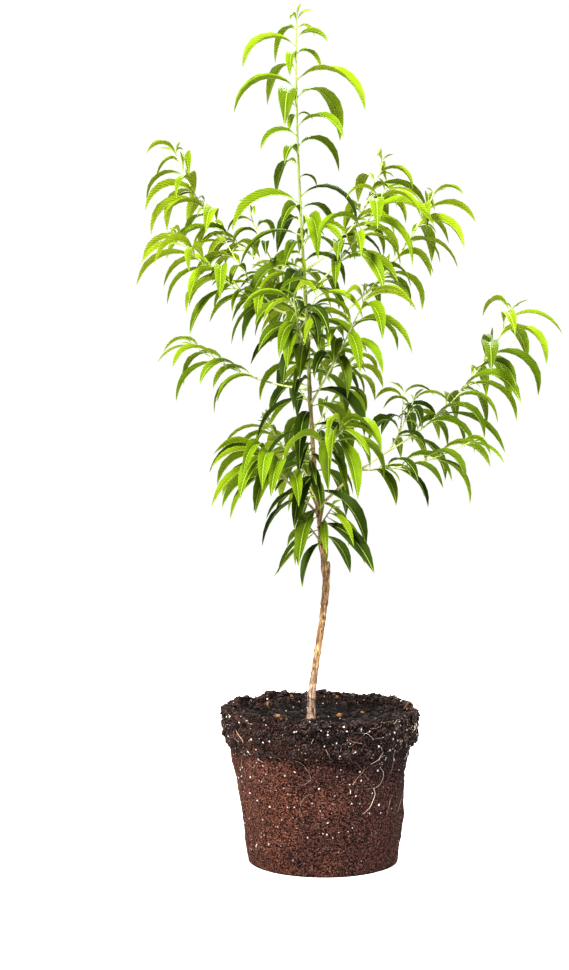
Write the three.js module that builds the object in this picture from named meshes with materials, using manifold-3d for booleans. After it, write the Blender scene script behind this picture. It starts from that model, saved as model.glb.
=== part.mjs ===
// A young dwarf peach tree, about 1.14 m tall, standing on the bare root ball that its nursery pot
// shaped. Millimetres, +Z up. The origin is the middle of the ball's flat underside. Bearings are in
// degrees, with 0 along +X and 90 along +Y.
//
// The trunk, each bough and each mass of foliage is a solid of its own. Foliage grows by one rule: a
// stem goes on from its bough, a few stems have a side shoot, and leaves stand round every shoot at
// two fifths of a turn from each other, each one rising, arching over and hanging by its own weight.

import * as THREE from "three";
import { mergeVertices } from "three/addons/utils/BufferGeometryUtils.js";
import Module from "manifold-3d";

const wasm = await Module();
wasm.setup();

// ---------------------------------------------------------------- driving dimensions

const CLEARANCE = 0.3; // air between two solids that touch on the real tree
const WELD = 1e-4; // corners closer than this are one

// Root ball: a tapered plug with a proud collar where the pot had its rim, leaning with its trunk.
const BALL = {
  height: 206, // top of the rim
  footRadius: 101,
  waistRadius: 120, // just under the collar
  collarRadius: 130,
  collarHeight: 50, // from the collar's lower edge to the rim
  collarStep: 7, // how high the slanting underside of the collar is
  rimWidth: 15, // crest of soil and roots that stands round the top
  sink: 18, // how far the soil lies below the rim
  leanX: -5, // how far the rim's middle lies from the foot's
  sides: 24,
};
const LUMP = 3; // how far the ball's skin wanders in and out
const RIM_LUMP = 6; // how far the crest of the rim rises and falls
const SOIL_TOP = BALL.height - BALL.sink;

// Trunk: [x, y, z] of its middle line and its radius, from the foot to the old heading-back cut.
const TRUNK_FOOT = SOIL_TOP + CLEARANCE;
const TRUNK_LINE = [
  { at: [-16.5, 0, TRUNK_FOOT], radius: 7.2 },
  { at: [-16, 0, TRUNK_FOOT + 9], radius: 5.4 },
  { at: [-15.5, 0.5, 221], radius: 5.5 }, // swelling of the graft
  { at: [-11, 1, 256], radius: 4.8 },
  { at: [-2, 1, 319], radius: 4.7 },
  { at: [3.5, 0, 365], radius: 4.7 },
  { at: [4.7, 0, 403], radius: 4.9 }, // cut stub
];
// Leader: the new growth that took over beside the stub, up to where its own foliage starts.
const LEADER_LINE = [
  { at: [3.2, 0, 380], radius: 3.4 },
  { at: [-1, -1, 417], radius: 3.7 },
  { at: [-10, -1, 506], radius: 3.5 },
  { at: [-17.4, 0, 614], radius: 3.1 },
  { at: [-22, 1, 721], radius: 2.7 },
  { at: [-27.5, 1, 815], radius: 2.2 },
  { at: [-31.5, 0, 893], radius: 1.8 },
];
const TRUNK_SIDES = 8;
const TRUNK_STEPS = 10;
const LEADER_STEPS = 8;
const BOUGH_SIDES = 5;
const BOUGH_STEPS = 4;
const BOUGH_TIP = 1.1; // radius that a bough would taper to at the tip of its foliage
const BARE_BOUGH_TIP = 2; // radius at the tip of a bough that carries branches only
const TWIG_SIDES = 3;
const TWIG_STEP = 42; // length of one straight stretch of a twig
const TWIG_TIP = 1.2; // radius over its three corners

// Leaf: everything but the length follows from the length.
const LEAF = {
  // how many and how long
  turn: 144, // degrees from one leaf to the next round its shoot
  first: 0.06, // share of a stem that lies below its first leaf
  last: 0.99, // share of a shoot at which its last leaf stands
  inset: 0.35, // how far the first leaf of a shoot stands in from where its leaves begin, in leaf gaps
  lengths: [0.8, 1.1], // of a shoot's leaves, as a share of what their place on it gives
  ripening: [0.2, 0.76], // stretch of a half wave over which the length rises and falls along a shoot
  least: 0.62, // length where that half wave is nought, as a share of the largest
  young: 3, // the last leaves of a shoot, which are not grown yet
  youngLength: 0.78, // length of a shoot's last leaf as a share of what it would be grown
  // its outline and section
  widest: 0.105, // half width as a share of the length
  stalk: 0.09, // share of the length that is bare stalk
  outline: { scale: 2.745, rise: 0.6, fall: 0.9 }, // scale makes the widest place 1
  rootRadius: 0.5,
  fold: 26, // how far each half stands up from flat, in degrees
  keel: 1.3, // depth of the rib under the fold
  steps: 20, // straight stretches that its rib is reckoned in
  stations: [0, 0.15, 0.45, 0.75], // where the solid has a section, up to the tip
  // how it stands, in degrees unless it is a share
  petioleAngle: [28, 50], // from the shoot's own direction
  upward: 0.5, // how strongly stalks on the underside of a level shoot turn up
  outward: 0.35, // how strongly the leaves of a level shoot turn the way that it heads
  lift: 8, // how much more a stalk rises than it would by that angle alone
  steepest: 60,
  lowest: -10,
  hang: [-92, -62], // slope of the tip of a grown leaf
  youngHang: 26, // how much less the last leaves of a shoot hang
  bend: 1.3, // 1 for an even arch, more for one that is sharpest near the stalk
  roll: 26, // most that its section turns about the rib
  curl: 20, // most that its heading swings from stalk to tip
  tries: 8, // places tried for a leaf that would touch a neighbour
  swing: 46, // most that its heading turns for another try
};

// Boughs, from the top down, each with the foliage that goes on from it. height: where it leaves the
// leader. reach and rise: how far its tip lies out and up from there. sag: how far its middle hangs
// below a straight line, as a share of its length. butt: radius at the leader. bare: the share that
// is bough, before the foliage starts. leaf: length of its largest leaves. turn: bearing of the first
// leaf round the stem. shoots: number of side shoots.
const BOUGHS = [
  { name: "right_top", height: 792, bearing: 33, reach: 130, rise: 156, sag: 0.1, butt: 2.3, bare: 0.2,
    leaves: 16, leaf: 98, turn: 20, shoots: 0 },
  { name: "left_top", height: 780, bearing: 160, reach: 186, rise: 176, sag: 0.12, butt: 2.6, bare: 0.26,
    leaves: 20, leaf: 96, turn: 60, shoots: 0 },
  { name: "right_high", height: 760, bearing: -38, reach: 128, rise: 130, sag: 0.06, butt: 2.3, bare: 0.24,
    leaves: 14, leaf: 102, turn: 100, shoots: 0 },
  { name: "left_high", height: 726, bearing: 199, reach: 178, rise: 104, sag: 0.07, butt: 2.7, bare: 0.24,
    leaves: 17, leaf: 98, turn: 200, shoots: 0 },
  { name: "right_outer", height: 703, bearing: 9, reach: 172, rise: 194, sag: 0.08, butt: 2.8, bare: 0.3,
    leaves: 17, leaf: 102, turn: 320, shoots: 0 },
  { name: "back_high", height: 690, bearing: 104, reach: 138, rise: 112, sag: 0.06, butt: 2.4, bare: 0.25,
    leaves: 13, leaf: 100, turn: 10, shoots: 1 },
  { name: "front_high", height: 668, bearing: -100, reach: 122, rise: 84, sag: 0.06, butt: 2.3, bare: 0.3,
    leaves: 12, leaf: 102, turn: 150, shoots: 1 },
  { name: "left_middle", height: 634, bearing: 174, reach: 158, rise: 60, sag: 0.07, butt: 2.6, bare: 0.36,
    leaves: 13, leaf: 96, turn: 250, shoots: 0 },
  { name: "right_middle", height: 614, bearing: -56, reach: 126, rise: 140, sag: 0.02, butt: 2.7, bare: 0.24,
    leaves: 17, leaf: 102, turn: 75, shoots: 0 },
  { name: "back_middle", height: 580, bearing: 68, reach: 162, rise: 104, sag: 0.05, butt: 2.7, bare: 0.26,
    leaves: 14, leaf: 106, turn: 290, shoots: 1 },
  { name: "front_low", height: 540, bearing: -72, reach: 116, rise: 44, sag: 0.03, butt: 2.6, bare: 0.3,
    leaves: 12, leaf: 118, turn: 40, shoots: 0 },
  { name: "back_low", height: 500, bearing: 106, reach: 142, rise: 66, sag: 0.03, butt: 2.8, bare: 0.3,
    leaves: 14, leaf: 112, turn: 130, shoots: 1 },
  { name: "left_low", height: 466, bearing: 214, reach: 92, rise: 84, sag: 0.0, butt: 2.9, bare: 0.46,
    leaves: 18, leaf: 118, turn: 330, shoots: 0 },
  { name: "right_low", height: 474, bearing: -10, reach: 108, rise: 86, sag: -0.04, butt: 3.1, bare: 1 },
];

// Foliage that springs from the side of a bough, or goes on from one in its own direction. along:
// share of the bough where it starts.
const BRANCHES = [
  { name: "left_top_upright", bough: "left_top", along: 0.14, bearing: 172, reach: 42, rise: 88, sag: 0.05,
    butt: 1.6, leaves: 9, leaf: 60, turn: 30, shoots: 0 },
  { name: "left_high_upright", bough: "left_high", along: 0.2, bearing: 176, reach: 70, rise: 92, sag: 0.05,
    butt: 1.8, leaves: 9, leaf: 88, turn: 90, shoots: 0 },
  { name: "right_low_outer", bough: "right_low", along: 1, bearing: 6, reach: 152, rise: 180, sag: 0.08,
    butt: 1.9, leaves: 22, leaf: 114, turn: 180, shoots: 0 },
  { name: "right_low_inner", bough: "right_low", along: 0.9, bearing: 40, reach: 44, rise: 66, sag: 0.03,
    butt: 1.7, leaves: 10, leaf: 82, turn: 240, shoots: 1 },
  { name: "right_low_under", bough: "right_low", along: 0.56, bearing: -25, reach: 156, rise: 40, sag: 0.06,
    butt: 2, leaves: 14, leaf: 90, turn: 120, shoots: 0 },
];

// Side shoot of a mass.
const SHOOT = {
  along: [0.2, 0.6], // stretch of the stem on which side shoots stand
  swing: [32, 55], // degrees between its bearing and the stem's
  reach: 44,
  rise: 52,
  sag: 0.05,
  butt: 1.5,
  leaves: 5,
  leaf: 0.88, // length of its largest leaves as a share of the stem's
  firstLeaf: 0.3, // share of it that lies below its first leaf
};

// Short spurs that clothe the leader between its boughs, from the lowest up.
const SPURS = {
  count: 10,
  lowest: 428,
  highest: 825,
  crowd: 1.3, // more than 1 sets them closer at the bottom
  first: 190, // bearing of the lowest one
  turn: 137.5, // from one to the next
  dodge: 30, // how much further round one stands that would run into a bough
};
const SPUR = {
  reach: 18,
  rise: 24,
  sag: 0,
  butt: 1.8,
  leaves: 4,
  firstLeaf: 0.35,
  leafTurn: 77, // how much further round its stem the first leaf of each spur stands
  leafLengths: [94, 92], // on the lowest and on the highest spur
  droops: [70, 0], // how many degrees lower their stalks start, lowest and highest
};

// The leader's own spray: the last stretch of the leader, from the end of the trunk to the tip.
const TOP = {
  tip: [-35.5, 2, 1124],
  onward: 0.6, // share of its height over which it keeps drawing the trunk's way
  leaves: 18,
  leaf: 120,
  lengths: [0.34, 1.14], // in place of the leaf rule's own, since its leaves are more mixed
  turn: 60,
  droop: 14, // how many degrees lower its stalks start
  butt: 1.9,
  shoots: 0,
};

// Streams of chance(), so that no two features draw the same number.
const STREAM = {
  length: 0,
  angle: 1,
  swing: 2,
  hang: 3,
  roll: 4,
  curl: 5,
  shootSwing: 7,
  perTry: 16, // each new try for a leaf draws from the next set of streams
  ballRing: 900, // first of the stems that stand for the rings of the root ball
  ballCrest: 950,
};

const COLOURS = { bark: 0xb9925c, greenBark: 0xa9ad5a, leaf: 0x6d9a1f, youngLeaf: 0x8cb523, ball: 0x3f2617 };
const ROUGHNESS = { bark: 0.8, leaf: 0.5, ball: 0.95 };

// ---------------------------------------------------------------- small tools

const UP = new THREE.Vector3(0, 0, 1);
const { degToRad, radToDeg, lerp, clamp } = THREE.MathUtils;

// A fixed number from 0 to 1 for each stem, leaf and stream, so that growth repeats exactly.
function chance(stem, leaf, stream) {
  let mixed = Math.imul(stem + 1, 0x9e3779b1) ^ Math.imul(leaf + 1, 0x85ebca77);
  mixed ^= Math.imul(stream + 1, 0xc2b2ae3d);
  mixed ^= mixed >>> 15;
  mixed = Math.imul(mixed, 0x2c1b3c6d);
  mixed ^= mixed >>> 12;
  mixed = Math.imul(mixed, 0x297a2d39);
  mixed ^= mixed >>> 15;
  return (mixed >>> 0) / 4294967296;
}

function bearingVector(bearing) {
  return new THREE.Vector3(Math.cos(degToRad(bearing)), Math.sin(degToRad(bearing)), 0);
}

// The way that heads and climbs by these angles, in radians.
function wayVector(heading, slope) {
  const level = Math.cos(slope);
  return new THREE.Vector3(Math.cos(heading) * level, Math.sin(heading) * level, Math.sin(slope));
}

// An angle up to this many degrees either way, in radians, for a number from 0 to 1.
function eitherWay(number, degrees) {
  return (number - 0.5) * 2 * degToRad(degrees);
}

// Closed skin over rings of points. A ring of one point is a tip, and a first or last ring of more
// points is closed flat.
function skin(rings) {
  const positions = [];
  const faces = [];
  const starts = [];
  for (const ring of rings) {
    starts.push(positions.length / 3);
    for (const point of ring) positions.push(point.x, point.y, point.z);
  }
  for (let i = 0; i + 1 < rings.length; i += 1) {
    const lower = rings[i].length;
    const upper = rings[i + 1].length;
    for (let k = 0; k < Math.max(lower, upper); k += 1) {
      const a = starts[i] + (k % lower);
      const b = starts[i] + ((k + 1) % lower);
      const c = starts[i + 1] + ((k + 1) % upper);
      const d = starts[i + 1] + (k % upper);
      if (a !== b) faces.push(a, b, c);
      if (c !== d) faces.push(a, c, d);
    }
  }
  for (let k = 1; k + 1 < rings[0].length; k += 1) faces.push(0, k + 1, k);
  const last = starts.at(-1);
  for (let k = 1; k + 1 < rings.at(-1).length; k += 1) faces.push(last, last + k, last + k + 1);
  const geometry = new THREE.BufferGeometry();
  geometry.setAttribute("position", new THREE.Float32BufferAttribute(positions, 3));
  geometry.setIndex(faces);
  return geometry;
}

// Tube along a curve from one share of it to another, with the radius that radiusAt gives there.
function tube(curve, radiusAt, sides, steps, from = 0, to = 1) {
  const rings = [];
  const across = new THREE.Vector3();
  for (let i = 0; i <= steps; i += 1) {
    const share = lerp(from, to, i / steps);
    const centre = curve.getPoint(share);
    const along = curve.getTangent(Math.min(share, 1));
    if (i === 0) across.crossVectors(along, Math.abs(along.z) > 0.9 ? new THREE.Vector3(0, 1, 0) : UP);
    across.addScaledVector(along, -across.dot(along)).normalize();
    const third = new THREE.Vector3().crossVectors(along, across);
    const ring = [];
    for (let k = 0; k < sides; k += 1) {
      const angle = (2 * Math.PI * k) / sides;
      const point = centre.clone().addScaledVector(across, radiusAt(share) * Math.cos(angle));
      ring.push(point.addScaledVector(third, radiusAt(share) * Math.sin(angle)));
    }
    rings.push(ring);
  }
  return skin(rings);
}

function solid(geometry) {
  const merged = mergeVertices(geometry, WELD);
  return new wasm.Manifold(
    new wasm.Mesh({
      numProp: 3,
      vertProperties: new Float32Array(merged.attributes.position.array),
      triVerts: new Uint32Array(merged.index.array),
    }),
  );
}

// The outer skin of the largest body of a joined solid: scraps go, and sealed hollows are filled.
function outerSkin(joined) {
  const mesh = joined.getMesh();
  const corners = mesh.vertProperties;
  const faces = mesh.triVerts;
  const parent = Array.from({ length: corners.length / 3 }, (_, i) => i);
  const root = (i) => {
    while (parent[i] !== i) i = parent[i];
    return i;
  };
  for (let f = 0; f < faces.length; f += 3) {
    parent[root(faces[f])] = root(faces[f + 1]);
    parent[root(faces[f + 1])] = root(faces[f + 2]);
  }
  const corner = (i) => new THREE.Vector3().fromArray(corners, 3 * i);
  const volumes = new Map();
  for (let f = 0; f < faces.length; f += 3) {
    const spanned = corner(faces[f]).dot(corner(faces[f + 1]).cross(corner(faces[f + 2])));
    const shell = root(faces[f]);
    volumes.set(shell, (volumes.get(shell) ?? 0) + spanned);
  }
  const [largest] = [...volumes].reduce((best, shell) => (shell[1] > best[1] ? shell : best));
  const kept = [];
  for (let f = 0; f < faces.length; f += 3) {
    if (root(faces[f]) === largest) kept.push(faces[f], faces[f + 1], faces[f + 2]);
  }
  const geometry = new THREE.BufferGeometry();
  geometry.setAttribute("position", new THREE.Float32BufferAttribute(new Float32Array(corners), 3));
  geometry.setIndex(kept);
  return mergeVertices(geometry, WELD);
}

// ---------------------------------------------------------------- the tree as it stands so far

const tree = new THREE.Group();
tree.name = "dwarf_peach_tree";

// Every solid in place, with its box, so that what grows later keeps clear of it.
const placed = [];

function boxed(body, owner) {
  const box = body.boundingBox();
  return { body, owner, low: box.min, high: box.max };
}

// Whether a body meets anything in place, apart from what belongs to its own mass.
function touches(body, neighbours, owner = null) {
  const { min, max } = body.boundingBox();
  for (const other of neighbours) {
    const apart = [0, 1, 2].some((k) => min[k] > other.high[k] || max[k] < other.low[k]);
    if (apart || (owner && other.owner === owner)) continue;
    const shared = body.intersect(other.body);
    const touching = !shared.isEmpty();
    shared.delete();
    if (touching) return true;
  }
  return false;
}

function addPiece(name, geometry, colour, roughness) {
  const material = new THREE.MeshStandardMaterial({ color: colour, roughness, metalness: 0 });
  const mesh = new THREE.Mesh(geometry, material);
  mesh.name = name;
  tree.add(mesh);
}

// ---------------------------------------------------------------- root ball

function ballSkin() {
  const collarFoot = BALL.height - BALL.collarHeight;
  const flank = (share) => [lerp(BALL.footRadius, BALL.waistRadius, share), collarFoot * share];
  const profile = [
    flank(0),
    flank(0.35),
    flank(0.7),
    [BALL.waistRadius, collarFoot - BALL.collarStep],
    [BALL.collarRadius - 2, collarFoot],
    [BALL.collarRadius, collarFoot + BALL.collarHeight * 0.5],
    [BALL.collarRadius - 3, BALL.height - 4],
    [BALL.collarRadius - BALL.rimWidth * 0.5, BALL.height],
    [BALL.collarRadius - BALL.rimWidth * 1.2, SOIL_TOP + 6],
    [BALL.collarRadius - BALL.rimWidth * 2.2, SOIL_TOP],
  ];
  const rings = [[new THREE.Vector3(0, 0, 0)]];
  profile.forEach(([radius, height], level) => {
    const ring = [];
    const flat = height === 0 || height === SOIL_TOP;
    for (let k = 0; k < BALL.sides; k += 1) {
      const out = radius + (flat ? 0 : (chance(STREAM.ballRing + level, k, 1) - 0.5) * 2 * LUMP);
      const crest = height === BALL.height ? (chance(STREAM.ballCrest, k, 2) - 0.4) * RIM_LUMP : 0;
      const point = bearingVector((360 * k) / BALL.sides).multiplyScalar(out);
      point.z = height + crest;
      point.x += (BALL.leanX * point.z) / BALL.height;
      ring.push(point);
    }
    rings.push(ring);
  });
  rings.push([new THREE.Vector3((BALL.leanX * SOIL_TOP) / BALL.height, 0, SOIL_TOP)]);
  return skin(rings);
}

// ---------------------------------------------------------------- trunk

function stationCurve(stations) {
  return new THREE.CatmullRomCurve3(stations.map((s) => new THREE.Vector3(...s.at)), false, "centripetal");
}

function stationRadius(stations) {
  return (share) => {
    const place = clamp(share, 0, 1) * (stations.length - 1);
    const below = Math.min(Math.floor(place), stations.length - 2);
    return lerp(stations[below].radius, stations[below + 1].radius, place - below);
  };
}

const trunkCurve = stationCurve(TRUNK_LINE);
const leaderCurve = stationCurve(LEADER_LINE);

// The point of the leader at this height.
function leaderPoint(height) {
  let low = 0;
  let high = 1;
  for (let i = 0; i < 30; i += 1) {
    const middle = (low + high) / 2;
    if (leaderCurve.getPoint(middle).z < height) low = middle;
    else high = middle;
  }
  return leaderCurve.getPoint(low);
}

// Trunk and leader in one. The foot is cut level, whatever way the trunk leans there.
function trunkBody(spare) {
  const radiusAt = (stations) => (share) => stationRadius(stations)(share) + spare;
  const lower = tube(trunkCurve, radiusAt(TRUNK_LINE), TRUNK_SIDES, TRUNK_STEPS);
  for (let i = 0; i < TRUNK_SIDES; i += 1) lower.attributes.position.setZ(i, TRUNK_FOOT);
  const upper = tube(leaderCurve, radiusAt(LEADER_LINE), TRUNK_SIDES, LEADER_STEPS);
  return solid(lower).add(solid(upper));
}

// ---------------------------------------------------------------- limbs

// A limb's middle line: from its root out along its bearing, hanging below the straight line by sag.
function limbCurve(root, bearing, { reach, rise, sag }) {
  const out = bearingVector(bearing);
  const chord = out.clone().multiplyScalar(reach).addScaledVector(UP, rise);
  const below = out.clone().multiplyScalar(rise).addScaledVector(UP, -reach).normalize();
  const middle = root.clone().addScaledVector(chord, 0.5).addScaledVector(below, 2 * sag * chord.length());
  return new THREE.QuadraticBezierCurve3(root, middle, root.clone().add(chord));
}

// ---------------------------------------------------------------- leaves

// Where a leaf stands: the middle of its shoot, the shoot's own way, and the way out of it at a turn
// round the shoot. On a level shoot, the ways out crowd towards its upper side.
function leafSeat(curve, share, turn) {
  const centre = curve.getPoint(share);
  const along = curve.getTangent(share);
  const side = new THREE.Vector3().crossVectors(along, UP);
  const level = side.length();
  if (level < 0.15) side.set(0, 1, 0).cross(along);
  side.normalize();
  const top = new THREE.Vector3().crossVectors(side, along);
  const out = top.multiplyScalar(Math.cos(degToRad(turn)) + LEAF.upward * level);
  return { centre, along, level, out: out.addScaledVector(side, Math.sin(degToRad(turn))).normalize() };
}

function halfWidth(share, length) {
  const { scale, rise, fall } = LEAF.outline;
  const blade = clamp((share - LEAF.stalk) / (1 - LEAF.stalk), 0, 1);
  return LEAF.widest * length * scale * blade ** rise * (1 - blade) ** fall;
}

// The line that a leaf's rib takes: its place, way, and level side at each of its stations. It starts
// in the middle of the shoot, and its slope falls steadily to the hanging tip.
function ribLine(seat, { length, youth, droop }, pick, swing) {
  const angle = degToRad(lerp(...LEAF.petioleAngle, pick(STREAM.angle)));
  const start = seat.along.clone().multiplyScalar(Math.cos(angle)).addScaledVector(seat.out, Math.sin(angle));
  const onward = Math.atan2(seat.along.y, seat.along.x);
  const aside = Math.atan2(start.y, start.x) - onward;
  const turned = Math.atan2(Math.sin(aside), Math.cos(aside)) * (1 - LEAF.outward * seat.level);
  const heading = onward + turned + swing;
  const rising = clamp(radToDeg(Math.asin(start.z)) + LEAF.lift, LEAF.lowest, LEAF.steepest);
  const slopeStart = rising - droop;
  const slopeEnd = lerp(...LEAF.hang, pick(STREAM.hang)) + youth * LEAF.youngHang;
  const curl = eitherWay(pick(STREAM.curl), LEAF.curl);
  const place = seat.centre.clone();
  const line = [];
  for (let i = 0; i <= LEAF.steps; i += 1) {
    const share = i / LEAF.steps;
    const slope = degToRad(lerp(slopeStart, slopeEnd, 1 - (1 - share) ** LEAF.bend));
    const way = heading + curl * share;
    const along = wayVector(way, slope);
    if (share === 1 || LEAF.stations.some((s) => Math.round(s * LEAF.steps) === i)) {
      line.push({ share, place: place.clone(), along, level: wayVector(way + Math.PI / 2, 0) });
    }
    place.addScaledVector(along, length / LEAF.steps);
  }
  return line;
}

// One leaf, folded along its rib. attempt: 0 for the place that the rule gives, more for another one.
// spare makes it that much larger all round, and skipped stations leave its stalk out.
function leafBody(seat, leaf, attempt, spare = 0, skipped = 0) {
  const pick = (stream) => chance(leaf.stem, leaf.index, stream + STREAM.perTry * attempt);
  const swing = attempt ? eitherWay(pick(STREAM.swing), LEAF.swing) : 0;
  const roll = eitherWay(pick(STREAM.roll), LEAF.roll);
  const rings = ribLine(seat, leaf, pick, swing).slice(skipped).map(({ share, place, along, level }) => {
    if (share === 1) return [place.addScaledVector(along, spare)];
    const face = new THREE.Vector3().crossVectors(along, level);
    const side = level.clone().multiplyScalar(Math.cos(roll)).addScaledVector(face, Math.sin(roll));
    const top = new THREE.Vector3().crossVectors(along, side);
    const half = Math.max(halfWidth(share, leaf.length), LEAF.rootRadius) + spare;
    const edge = half * Math.cos(degToRad(LEAF.fold));
    const raised = place.clone().addScaledVector(top, half * Math.sin(degToRad(LEAF.fold)));
    const keel = Math.min(LEAF.keel, half) + spare;
    return [
      raised.clone().addScaledVector(side, edge),
      raised.clone().addScaledVector(side, -edge),
      place.clone().addScaledVector(top, -keel),
    ];
  });
  return solid(skin(rings));
}

// ---------------------------------------------------------------- foliage

let stems = 0;

// Leaves round one shoot, from a share of it to its tip. The largest stand in the middle and the last
// ones are young. A leaf that would touch a neighbour is tried in other places, then skipped.
function growLeaves(shoot, name, bodies) {
  const { curve, from, count, leaf, turn, lengths = LEAF.lengths, droop = 0 } = shoot;
  const stem = stems;
  stems += 1;
  for (let i = 0; i < count; i += 1) {
    const share = lerp(from, LEAF.last, (i + LEAF.inset) / (count - LEAF.inset));
    const seat = leafSeat(curve, share, turn + i * LEAF.turn);
    const ripe = Math.sin(Math.PI * lerp(...LEAF.ripening, i / count));
    const youth = clamp((i - count + 1 + LEAF.young) / LEAF.young, 0, 1);
    const grown = leaf * lerp(LEAF.least, 1, ripe) * lerp(...lengths, chance(stem, i, STREAM.length));
    const one = { stem, index: i, length: grown * lerp(1, LEAF.youngLength, youth), youth, droop };
    for (let attempt = 0; attempt < LEAF.tries; attempt += 1) {
      const whole = leafBody(seat, one, attempt, CLEARANCE);
      const blade = leafBody(seat, one, attempt, CLEARANCE, 1);
      const free = !touches(whole, placed, name) && !touches(blade, bodies);
      whole.delete();
      blade.delete();
      if (free) {
        bodies.push(boxed(leafBody(seat, one, attempt), name));
        break;
      }
    }
  }
}

const masses = [];

// The wood of a mass of foliage: its stem along a curve from one share of it to the tip, and side
// shoots on the stem. cutter is what the stem's root keeps clear of. False if a neighbour is in the
// stem's way.
function growStem(name, curve, from, spec, radius, cutter) {
  const twig = (line, start, thick, spare = 0) => {
    const steps = Math.max(2, Math.round((line.getLength() * (1 - start)) / TWIG_STEP));
    const radiusAt = (share) => lerp(thick, TWIG_TIP, (share - start) / (1 - start)) + spare;
    const body = solid(tube(line, radiusAt, TWIG_SIDES, steps, start, 1));
    return cutter && line === curve ? body.subtract(cutter) : body;
  };
  if (touches(twig(curve, from, radius, CLEARANCE), placed)) return false;
  const bodies = [boxed(twig(curve, from, radius), name)];
  const firstLeaf = lerp(from, 1, spec.firstLeaf ?? LEAF.first);
  const shoots = [{ ...spec, curve, from: firstLeaf, count: spec.leaves }];
  for (let k = 0; k < spec.shoots; k += 1) {
    const share = lerp(from, 1, lerp(...SHOOT.along, (k + 0.5) / spec.shoots));
    const way = curve.getTangent(share);
    const swing = (k % 2 ? -1 : 1) * lerp(...SHOOT.swing, chance(masses.length, k, STREAM.shootSwing));
    const shoot = limbCurve(curve.getPoint(share), radToDeg(Math.atan2(way.y, way.x)) + swing, SHOOT);
    if (touches(twig(shoot, 0, SHOOT.butt, CLEARANCE), placed)) continue;
    bodies.push(boxed(twig(shoot, 0, SHOOT.butt), name));
    const leaf = spec.leaf * SHOOT.leaf;
    shoots.push({ ...spec, curve: shoot, from: SHOOT.firstLeaf, count: SHOOT.leaves, leaf });
  }
  placed.push(...bodies);
  masses.push({ name, bodies, shoots, colour: spec.colour ?? COLOURS.leaf });
  return true;
}

// The leaves of a mass, joined to its wood as one solid.
function leafOut({ name, bodies, shoots, colour }) {
  const wood = bodies.length;
  for (const shoot of shoots) growLeaves(shoot, name, bodies);
  placed.push(...bodies.slice(wood));
  const joined = wasm.Manifold.union(bodies.map((piece) => piece.body));
  addPiece(name, outerSkin(joined), colour, ROUGHNESS.leaf);
}

// ---------------------------------------------------------------- put together

addPiece("root_ball", ballSkin(), COLOURS.ball, ROUGHNESS.ball);
placed.push(boxed(solid(ballSkin())));

const trunk = trunkBody(0);
const trunkClear = trunkBody(CLEARANCE);
addPiece("trunk", outerSkin(trunk), COLOURS.bark, ROUGHNESS.bark);
placed.push(boxed(trunk));

// All the wood comes first, so that no leaf grows through it.
const limbs = new Map();
for (const row of BOUGHS) {
  const curve = limbCurve(leaderPoint(row.height), row.bearing, row);
  const end = row.bare === 1 ? BARE_BOUGH_TIP : BOUGH_TIP;
  const radiusAt = (share) => lerp(row.butt, end, share);
  const whole = solid(tube(curve, radiusAt, BOUGH_SIDES, BOUGH_STEPS, 0, row.bare));
  const body = whole.subtract(trunkClear);
  const beyond = row.bare + CLEARANCE / curve.getLength();
  const clear = solid(tube(curve, (s) => radiusAt(s) + CLEARANCE, BOUGH_SIDES, BOUGH_STEPS, 0, beyond));
  addPiece(`bough_${row.name}`, outerSkin(body), COLOURS.greenBark, ROUGHNESS.bark);
  placed.push(boxed(body));
  limbs.set(row.name, { curve, radiusAt, clear, row });
}

for (const { curve, radiusAt, row } of limbs.values()) {
  if (row.bare === 1) continue;
  const from = row.bare + CLEARANCE / curve.getLength();
  growStem(`foliage_${row.name}`, curve, from, row, radiusAt(row.bare));
}

for (const row of BRANCHES) {
  const limb = limbs.get(row.bough);
  const root = limb.curve.getPoint(row.along);
  if (row.along === 1) root.addScaledVector(limb.curve.getTangent(1), CLEARANCE);
  const curve = limbCurve(root, row.bearing, row);
  growStem(`foliage_${row.name}`, curve, 0, row, row.butt, limb.clear);
}

// The spray at the top goes on from the end of the trunk, and straightens on its way up.
const leaderEnd = leaderCurve.getPoint(1);
const leaderWay = leaderCurve.getTangent(1);
const topCurve = new THREE.QuadraticBezierCurve3(
  leaderEnd.clone().addScaledVector(leaderWay, CLEARANCE),
  leaderEnd.clone().addScaledVector(leaderWay, (TOP.tip[2] - leaderEnd.z) * TOP.onward),
  new THREE.Vector3(...TOP.tip),
);
growStem("foliage_leader", topCurve, 0, { ...TOP, colour: COLOURS.youngLeaf }, TOP.butt);

for (let k = 0; k < SPURS.count; k += 1) {
  const up = k / (SPURS.count - 1);
  const root = leaderPoint(lerp(SPURS.lowest, SPURS.highest, up ** SPURS.crowd));
  const leaf = lerp(...SPUR.leafLengths, up);
  const droop = lerp(...SPUR.droops, up);
  const spec = { ...SPUR, leaf, turn: k * SPUR.leafTurn, shoots: 0, droop };
  for (let aside = 0; aside < 360; aside += SPURS.dodge) {
    const curve = limbCurve(root, SPURS.first + k * SPURS.turn + aside, SPUR);
    if (growStem(`foliage_spur_${k + 1}`, curve, 0, spec, SPUR.butt, trunkClear)) break;
  }
}

masses.forEach(leafOut);

export default tree;
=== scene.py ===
# %% [markdown]
# # A young dwarf peach tree on its root ball
#
# The tree is about 1.14 m tall and stands on the plug of potting mix that its nursery pot has shaped.
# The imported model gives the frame: a trunk, fourteen boughs, the masses of foliage that grow on from
# them, and the root ball. This script grows the same tree again by the same rule, with real leaves,
# bark and soil. Lengths in the growing rule are in millimetres and become metres in the meshes.

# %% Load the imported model
import math

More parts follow.
